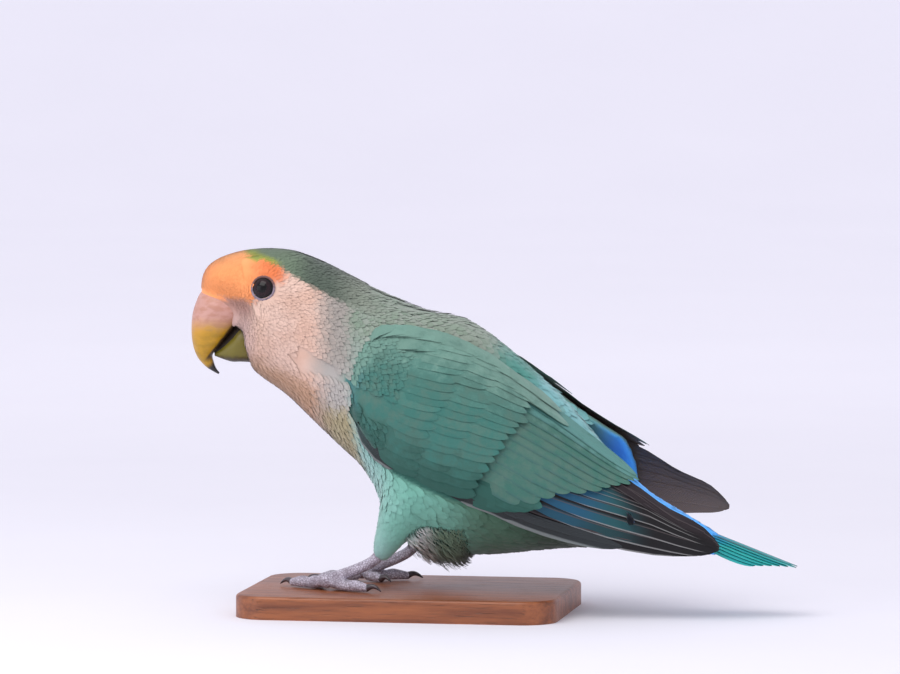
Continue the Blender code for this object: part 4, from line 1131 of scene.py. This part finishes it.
foot_skin = Finish("foot_skin", Roughness=0.58)
foot_place = place_in_mm(foot_skin)
foot_cloud = foot_skin.noise(foot_place, 0.5, 3.0)
scale_cells = foot_skin.node(
    "TexVoronoi", {"feature": "DISTANCE_TO_EDGE"}, {"Vector": foot_place, "Scale": 1.5},
)
foot_tone = foot_skin.blend(paint(206, 200, 214), paint(168, 160, 172), (foot_cloud + 0.5).step(0.35, 0.7))
foot_tone = foot_skin.blend(paint(132, 122, 134), foot_tone, scale_cells.step(0.0, 0.14))
foot_skin.link(Base_Color=foot_tone, Normal=foot_skin.bump(scale_cells.step(0.0, 0.2), 0.00012))
claw_horn = Finish("claw_horn", Roughness=0.35, Coat_Weight=0.3)
claw_place = place_in_mm(claw_horn)
claw_tone = (claw_horn.noise(claw_place, 1.2, 3.0) + 0.5).step(0.35, 0.7)
claw_horn.link(Base_Color=claw_horn.blend(paint(74, 62, 66), paint(48, 40, 44), claw_tone))

for side, word in ((LEFT, "left"), (RIGHT, "right")):
    knee, heel, root = (leg_point(point, side) for point in (KNEE, HEEL, TOE_ROOT))
    foot = bmesh.new()
    shares = np.linspace(0, 1, 60)
    shank = [Vector(point) for point in through(np.array((knee, heel, root)), 2 * shares)]
    rod(foot, shank, np.interp(shares, np.linspace(0, 1, 5), TARSUS_RADII), scutes=SCUTE_HEIGHT)
    palm = bmesh.ops.create_uvsphere(foot, u_segments=16, v_segments=10, radius=2.0)["verts"]
    bmesh.ops.translate(foot, vec=root, verts=palm)
    claws = bmesh.new()
    for toe in TOES:
        line, swells, forward = toe_line(toe, root, side)
        rod(foot, line, swells, scutes=SCUTE_HEIGHT)
        start = line[-1] - forward * 0.6
        end = start + forward * toe[3]
        end.z = SOLE_Z + 0.25
        arc = np.linspace(0, 1, 16)
        curve = [start.lerp(end, s) + Vector((0, 0, CLAW_ARCH * math.sin(math.pi * s))) for s in arc]
        rod(claws, curve, 0.85 * (1 - arc) ** 0.8 + 0.12, 12)
    foot = run_together([foot], FOOT_VOXEL, 1, 0.0)
    for vert in foot.verts:
        vert.co.z = max(vert.co.z, SOLE_Z)
    piece("foot_skin_" + word, foot, foot_skin.material, ["foot_" + word], 180)
    piece("claws_" + word, claws, claw_horn.material, (), 180)


# The wings
# Folded wings of stiff overlapping vanes with raised shafts: blackish flight feathers with
# coloured outer webs and pale edges, teal inner ones, and rows of coverts over their roots.
FLIGHT_ROWS = (
    (0.0, 0.35), (0.06, 0.6), (0.14, 0.82), (0.25, 0.96), (0.4, 1.0), (0.55, 1.0), (0.68, 0.98),
    (0.78, 0.94), (0.86, 0.84), (0.92, 0.68), (0.96, 0.48), (0.985, 0.28), (1.0, 0.06),
)
FLIGHT_SECTION = (
    (-1, -0.3), (-0.5, 0.15), (-0.1, 0.3), (0, 0.8), (0.1, 0.3), (0.5, 0.15), (1, -0.3), (0.5, -0.6),
    (-0.5, -0.6),
)
FLIGHT_VANE = vane_pattern(FLIGHT_ROWS, FLIGHT_SECTION)
COVERT_VANE = vane_pattern(
    ((0.0, 0.5), (0.2, 0.85), (0.45, 1.0), (0.65, 0.98), (0.8, 0.84), (0.9, 0.62), (0.96, 0.38), (1.0, 0.08)),
    ((-1, -0.3), (-0.45, 0.2), (0, 0.5), (0.45, 0.2), (1, -0.3), (0, -0.9)),
)
TILE_SLOPE, ROOT_LIFT = 0.1, -0.9
OUTER_WEB = 0.4
# Places are along a wing's stations and across it, from the upper edge at 0 to the lower one
# at 1. A row of coverts has how many, the first and last root, the same two tips, a width and
# a lift over the vanes below.
PRIMARY_ROOTS = ((5.6, 0.94), (7.0, 0.30))
PRIMARY_TIPS = (
    (11.2, 0.92), (12.0, 0.80), (12.0, 0.50), (11.7, 0.34), (11.2, 0.30), (10.4, 0.34), (9.7, 0.42),
)
SECONDARY_ROOTS = ((4.7, 0.84), (4.4, 0.12))
SECONDARY_TIPS = ((5.9, 0.86), (7.0, 0.70), (8.0, 0.50), (8.8, 0.28), (9.2, 0.08))
COVERT_ROWS = (
    (9, ((4.0, 0.98), (4.9, 0.84)), ((5.6, 0.98), (6.4, 0.86)), 4.0, 0.35),
    (15, ((2.9, 0.92), (3.7, 0.08)), ((4.8, 0.96), (5.9, 0.08)), 5.0, 0.5),
    (16, ((2.4, 0.92), (3.1, 0.06)), ((4.1, 0.96), (5.1, 0.07)), 4.8, 0.55),
    (17, ((1.9, 0.92), (2.6, 0.06)), ((3.4, 0.96), (4.4, 0.06)), 4.4, 0.6),
    (13, ((2.2, 0.13), (5.2, 0.11)), ((3.5, 0.11), (6.8, 0.11)), 3.4, 0.66),
    (16, ((1.4, 0.05), (5.0, 0.03)), ((2.7, 0.03), (6.5, 0.04)), 3.2, 0.72),
)


def laid_on_wing(pattern, side, roots, tips, widths, lifts, thickness, web=0.5):
    """Bends the pattern over a wing, from roots to tips, each a place along it and across it."""
    u, t, h = pattern[0].T
    place = roots[:, None] + (tips - roots)[:, None] * t[None, :, None]
    along, middle = place[..., 0], place[..., 1]
    values = through(WING, along)
    height = np.linalg.norm(values[..., 3:6] - values[..., :3], axis=-1)
    reach = np.where(u > 0, u * web, u * (1 - web)) * widths[:, None]
    edge = np.clip(middle + reach / height, -0.06, 1.06)
    points, outward = wing_surface(along, edge, side)
    lift = ROOT_LIFT + (lifts[:, None] - ROOT_LIFT) * smoothstep(t * 1.6)
    lift = lift + TILE_SLOPE * (edge - middle) * height + h * thickness
    return points + outward * lift[..., None]


def row_of(count, ends):
    """Places at equal steps between two ends."""
    shares = np.linspace(0, 1, count)[:, None]
    return np.array(ends[0]) * (1 - shares) + np.array(ends[1]) * shares


def wing_piece(name, pattern, side, roots, tips, widths, lifts, thickness, finish, web=0.5, replaced=()):
    """Vanes from roots to tips on one wing. Long ones take their shades in order, coverts by chance."""
    draws = np.linspace(0, 1, len(roots)) if pattern is FLIGHT_VANE else None
    tips = tips + RNG.normal(0, (0.06, 0.006), tips.shape)
    widths = widths * RNG.uniform(0.9, 1.1, len(roots))
    points = laid_on_wing(pattern, side, roots, tips, widths, lifts, thickness, web)
    places, _ = wing_surface(roots[:, 0], roots[:, 1], side)
    unwrapped = 0.02 + 0.96 * np.clip(roots / (12, 1), 0, 1)
    feather_piece(
        name, pattern, points, None, places, unwrapped, finish.material, replaced, draws,
    )


def vane_finish(name, barbs_along, barbs_across, depth, **constants):
    """A feather's material, with its places across and along it, its draw and its barbs' ridges."""
    finish = Finish(name, **constants)
    across, along, draw = finish.parts(finish.attribute("vane"))
    ridges = (along * barbs_along - abs(across) * barbs_across).math("SINE")
    shaft = abs(across).step(0.09, 0.03)
    finish.link(Normal=finish.bump(ridges * 0.5 + shaft, depth))
    return finish, across, along, draw


def with_inner_faces(finish, colour):
    """The vanes' colour, with the paler brown of their inner faces, which look towards the body."""
    _, normal_y, _ = finish.parts(finish.node("TexCoord", output="Normal"))
    _, root_y, _ = finish.parts(finish.attribute("root"))
    return finish.blend(colour, paint(118, 102, 94), (normal_y * root_y.math("SIGN")).step(0.1, -0.4))


inner, across, along, draw = vane_finish("secondary_vanes", 300, 36, 0.00002, Roughness=0.62)
mottle = inner.noise(place_in_mm(inner), 0.26, 6.0, 0.66)
green = inner.blend(paint(52, 108, 94), paint(76, 112, 98), (mottle + draw * 0.06).step(-0.14, 0.22))
green = inner.blend(green, paint(84, 138, 130), (draw + mottle * 0.6).step(0.8, 1.0))
green = inner.blend(green, paint(46, 92, 92), across.step(0.6, 1.0) * 0.5)
# Each vane is a little darker towards its root, painted shade where the coverts lie over it
green = inner.shade(green, 1.04 - (1.0 - along.step(0.2, 0.8)) * 0.08)
inner.link(Base_Color=with_inner_faces(inner, green))

outer, across, along, draw = vane_finish(
    "primary_vanes", 420, 36, 0.00003, Roughness=0.55, Specular_IOR_Level=0.3,
)
black = outer.blend(paint(17, 15, 17), paint(34, 24, 29), draw.step(0.3, 0.8))
web = across.step(-0.2, 0.1) * (along + draw * 0.2).step(0.62, 0.42) * draw.step(0.0, 0.2)
black = outer.blend(black, paint(30, 80, 84), web)
black = outer.blend(black, paint(28, 84, 112), web * along.step(0.4, 0.2) * draw.step(0.8, 0.5))
pale_edge = across.step(0.82, 0.92) * (draw.step(0.8, 0.3) * 0.6 + 0.15)
black = outer.blend(black, paint(146, 146, 144), pale_edge)
black = outer.blend(black, paint(84, 76, 76), abs(across).step(0.07, 0.03) * 0.6)
outer.link(Base_Color=with_inner_faces(outer, black))

edging, across, along, draw = vane_finish("wing_edge_vanes", 420, 20, 0.00003, Roughness=0.6)
dark = edging.blend(paint(30, 38, 40), paint(36, 62, 60), (along + draw * 0.2).step(0.5, 0.1))
edging.link(Base_Color=edging.blend(dark, paint(132, 140, 138), across.step(0.5, 0.75) * 0.7))

for side, word in ((LEFT, "left"), (RIGHT, "right")):
    wing_piece(
        "primaries_" + word, FLIGHT_VANE, side, row_of(10, PRIMARY_ROOTS),
        through(np.array(PRIMARY_TIPS), np.linspace(0, 6, 10)), np.full(10, 5.4),
        -0.1 + 0.04 * np.arange(10), 0.12, outer, OUTER_WEB, ["wing_" + word],
    )
    wing_piece(
        "secondaries_" + word, FLIGHT_VANE, side, row_of(12, SECONDARY_ROOTS),
        through(np.array(SECONDARY_TIPS), np.linspace(0, 4, 12)), np.full(12, 6.0),
        0.42 + 0.02 * np.arange(12), 0.1, inner, OUTER_WEB,
    )
    wing_piece(
        "wing_edge_" + word, FLIGHT_VANE, side, row_of(4, ((0.7, 0.97), (2.6, 0.99))),
        row_of(4, ((4.6, 1.01), (8.6, 1.0))), np.full(4, 3.4), 0.3 - 0.08 * np.arange(4), 0.12, edging, 0.5,
    )
    rows = [
        (row_of(count, roots), row_of(count, tips), np.full(count, width), lift + 0.01 * np.arange(count))
        for count, roots, tips, width, lift in COVERT_ROWS
    ]
    roots, tips, widths, lifts = (np.concatenate(parts) for parts in zip(*rows))
    wing_piece("wing_coverts_" + word, COVERT_VANE, side, roots, tips, widths, lifts, 0.1, feathered)


# The tail
# Twelve narrow turquoise feathers with dark shafts, laid like a low roof, the middle pair on
# top and longest. Long azure coverts lie over their roots, and dark green ones under them.
TAIL_ROOT, TAIL_TIP = np.array((65.0, 0.0, 27.2)), np.array((101.4, 0.0, 13.3))
TAIL_PAIRS, TAIL_FALL, TAIL_STEP, TAIL_SPREAD, TAIL_SHORTER = 6, 0.035, 0.35, (0.9, 0.95), 0.05
TAIL_WIDTH, TAIL_WEB = 5.4, 0.42

rectrices, across, along, draw = vane_finish("tail_vanes", 380, 36, 0.00003, Roughness=0.5)
turquoise = rectrices.blend(paint(26, 158, 162), paint(44, 176, 170), draw)
turquoise = rectrices.blend(paint(40, 140, 220), turquoise, along.step(0.3, 0.6))
turquoise = rectrices.blend(turquoise, paint(22, 70, 74), across.step(-0.35, -0.8) * 0.7)
turquoise = rectrices.blend(turquoise, paint(16, 52, 56), abs(across).step(0.12, 0.05))
rectrices.link(Base_Color=turquoise)

u, t, h = FLIGHT_VANE[0].T
rise = np.cross(TAIL_TIP - TAIL_ROOT, (0, 1, 0))
rise = rise / np.linalg.norm(rise) * (1 if rise[2] > 0 else -1)
tail_points = []
for pair in range(TAIL_PAIRS):
    for side in (LEFT, RIGHT):
        share = t * (1 - TAIL_SHORTER * pair)
        reach = np.where(u > 0, u * TAIL_WEB, u * (1 - TAIL_WEB)) * TAIL_WIDTH
        away = (TAIL_SPREAD[0] + TAIL_SPREAD[1] * pair) * (0.45 + 0.55 * smoothstep(share * 1.5)) + reach
        fall = TAIL_FALL * away**2 + TAIL_STEP * (pair + (0.5 if side == LEFT else 0.0)) - h * 0.14
        shaft = TAIL_ROOT + (TAIL_TIP - TAIL_ROOT) * share[:, None]
        tail_points.append(shaft + np.outer(side * away, (0, 1, 0)) - rise * fall[:, None])
tail_points = np.array(tail_points)
tail_roots = tail_points[:, :1].mean(axis=1)
unwrapped = 0.1 + 0.8 * np.stack([np.zeros(12), np.linspace(0, 1, 12)], axis=1)
feather_piece(
    "tail_feathers", FLIGHT_VANE, tail_points, None, tail_roots, unwrapped, rectrices.material,
    ["tail"],
)

# Where the coverts over and under the tail start and end along the spine, and their sizes
TAIL_COVERTS = (("upper_tail_coverts", 118, 145, 1), ("under_tail_coverts", 122, 146, -1))
TAIL_COVERT_LENGTHS, TAIL_COVERT_HALF_WIDTH, TAIL_COVERT_GAP = (8, 11), 2.1, 1.5


def on_tract(points, start, end, upward):
    """Whether each point is on the narrow tract over the tail (upward 1) or under it (-1)."""
    _, around = spine_place(points)
    middle = np.abs(points[:, 1]) < 3.2 + 0.12 * (points[:, 0] - 50)
    return between(points, start, end) & (upward * np.cos(around) > 0.35) & middle


for name, start, end, upward in TAIL_COVERTS:
    roots = strewn(
        lambda points: on_tract(points, start, end, upward),
        lambda points: np.full(len(points), TAIL_COVERT_GAP),
    )
    roots = roots[on_wing(roots)[:, 0] < 0.5]
    spines, normals = lay_on_skin(roots, RNG.uniform(*TAIL_COVERT_LENGTHS, len(roots)), 0.05)
    flat = unfolded(spines, 0.8)
    roots, spines, normals = roots[flat], spines[flat], normals[flat]
    widths, lifts = np.full(len(roots), TAIL_COVERT_HALF_WIDTH), np.full(len(roots), 0.55)
    points, shading = shaped(BODY_VANE, spines, normals, widths, 0.14, (-0.3, lifts))
    feather_piece(
        name, BODY_VANE, points, shading, roots, spread_out(roots, start, end), feathered.material,
    )


# The flank down
# Loose whitish down hangs behind each thigh, under the belly's edge: thin soft locks that
# taper to a point, each rooted in the skin.
DOWN_LENGTHS, DOWN_WIDTH, DOWN_GAP = (2.6, 6.4), 0.28, 0.44

down = Finish("flank_down", Roughness=0.9, Sheen_Weight=0.3)
down_tone = down.noise(place_in_mm(down), 0.5, 3.0)
down_x, _, _ = down.parts(place_in_mm(down))
_, down_share, _ = down.parts(down.attribute("vane"))
down_root = down.blend(paint(112, 168, 150), paint(70, 104, 84), down_x.step(2, 16))
down_tip = down.blend(paint(250, 252, 250), paint(214, 228, 220), (down_tone + 0.5).step(0.35, 0.7))
# The locks further back turn a darker green-grey, partly a greener colour of their own and partly painted
# shade
down_tip = down.blend(down_tip, paint(104, 130, 104), down_x.step(4, 11))
down.link(Base_Color=down.blend(down_root, down_tip, down_share.step(0.1, 0.75)))


def under_flank(points):
    """Whether each point is on the skin behind and between the thighs, off the near thigh."""
    x, y, z = points.T
    return (x > 0) & (x < 17) & (z < 25) & (np.abs(y) < 15) & (off_leg(points, LEFT)[0] > 5)


roots = strewn(under_flank, lambda points: np.full(len(points), DOWN_GAP))
_, outward = on_skin(roots)
long = RNG.uniform(*DOWN_LENGTHS, len(roots)) * smoothstep((18 - roots[:, 0]) / 8)
long = long * (0.35 + 0.65 * smoothstep((26 - roots[:, 2]) / 7))
hang = unit(np.array((0.5, 0.0, -0.8)) + RNG.normal(0, 0.16, roots.shape))
middle = roots + hang * long[:, None] * 0.5 + outward * 0.5
tip = middle + unit(hang + (0.5, 0, 0.15)) * long[:, None] * 0.5
spines = np.stack([roots, middle, tip], axis=1)
normals = np.repeat(outward[:, None], 3, axis=1)
points, shading = shaped(SMALL_VANE, spines, normals, np.full(len(roots), DOWN_WIDTH), 0.06, (-0.2, 0.0))
unwrapped = 0.02 + 0.96 * np.clip(np.stack([roots[:, 0] / 20, roots[:, 1] / 40 + 0.5], axis=1), 0, 1)
feather_piece("flank_down", SMALL_VANE, points, shading, roots, unwrapped, down.material)


low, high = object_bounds()
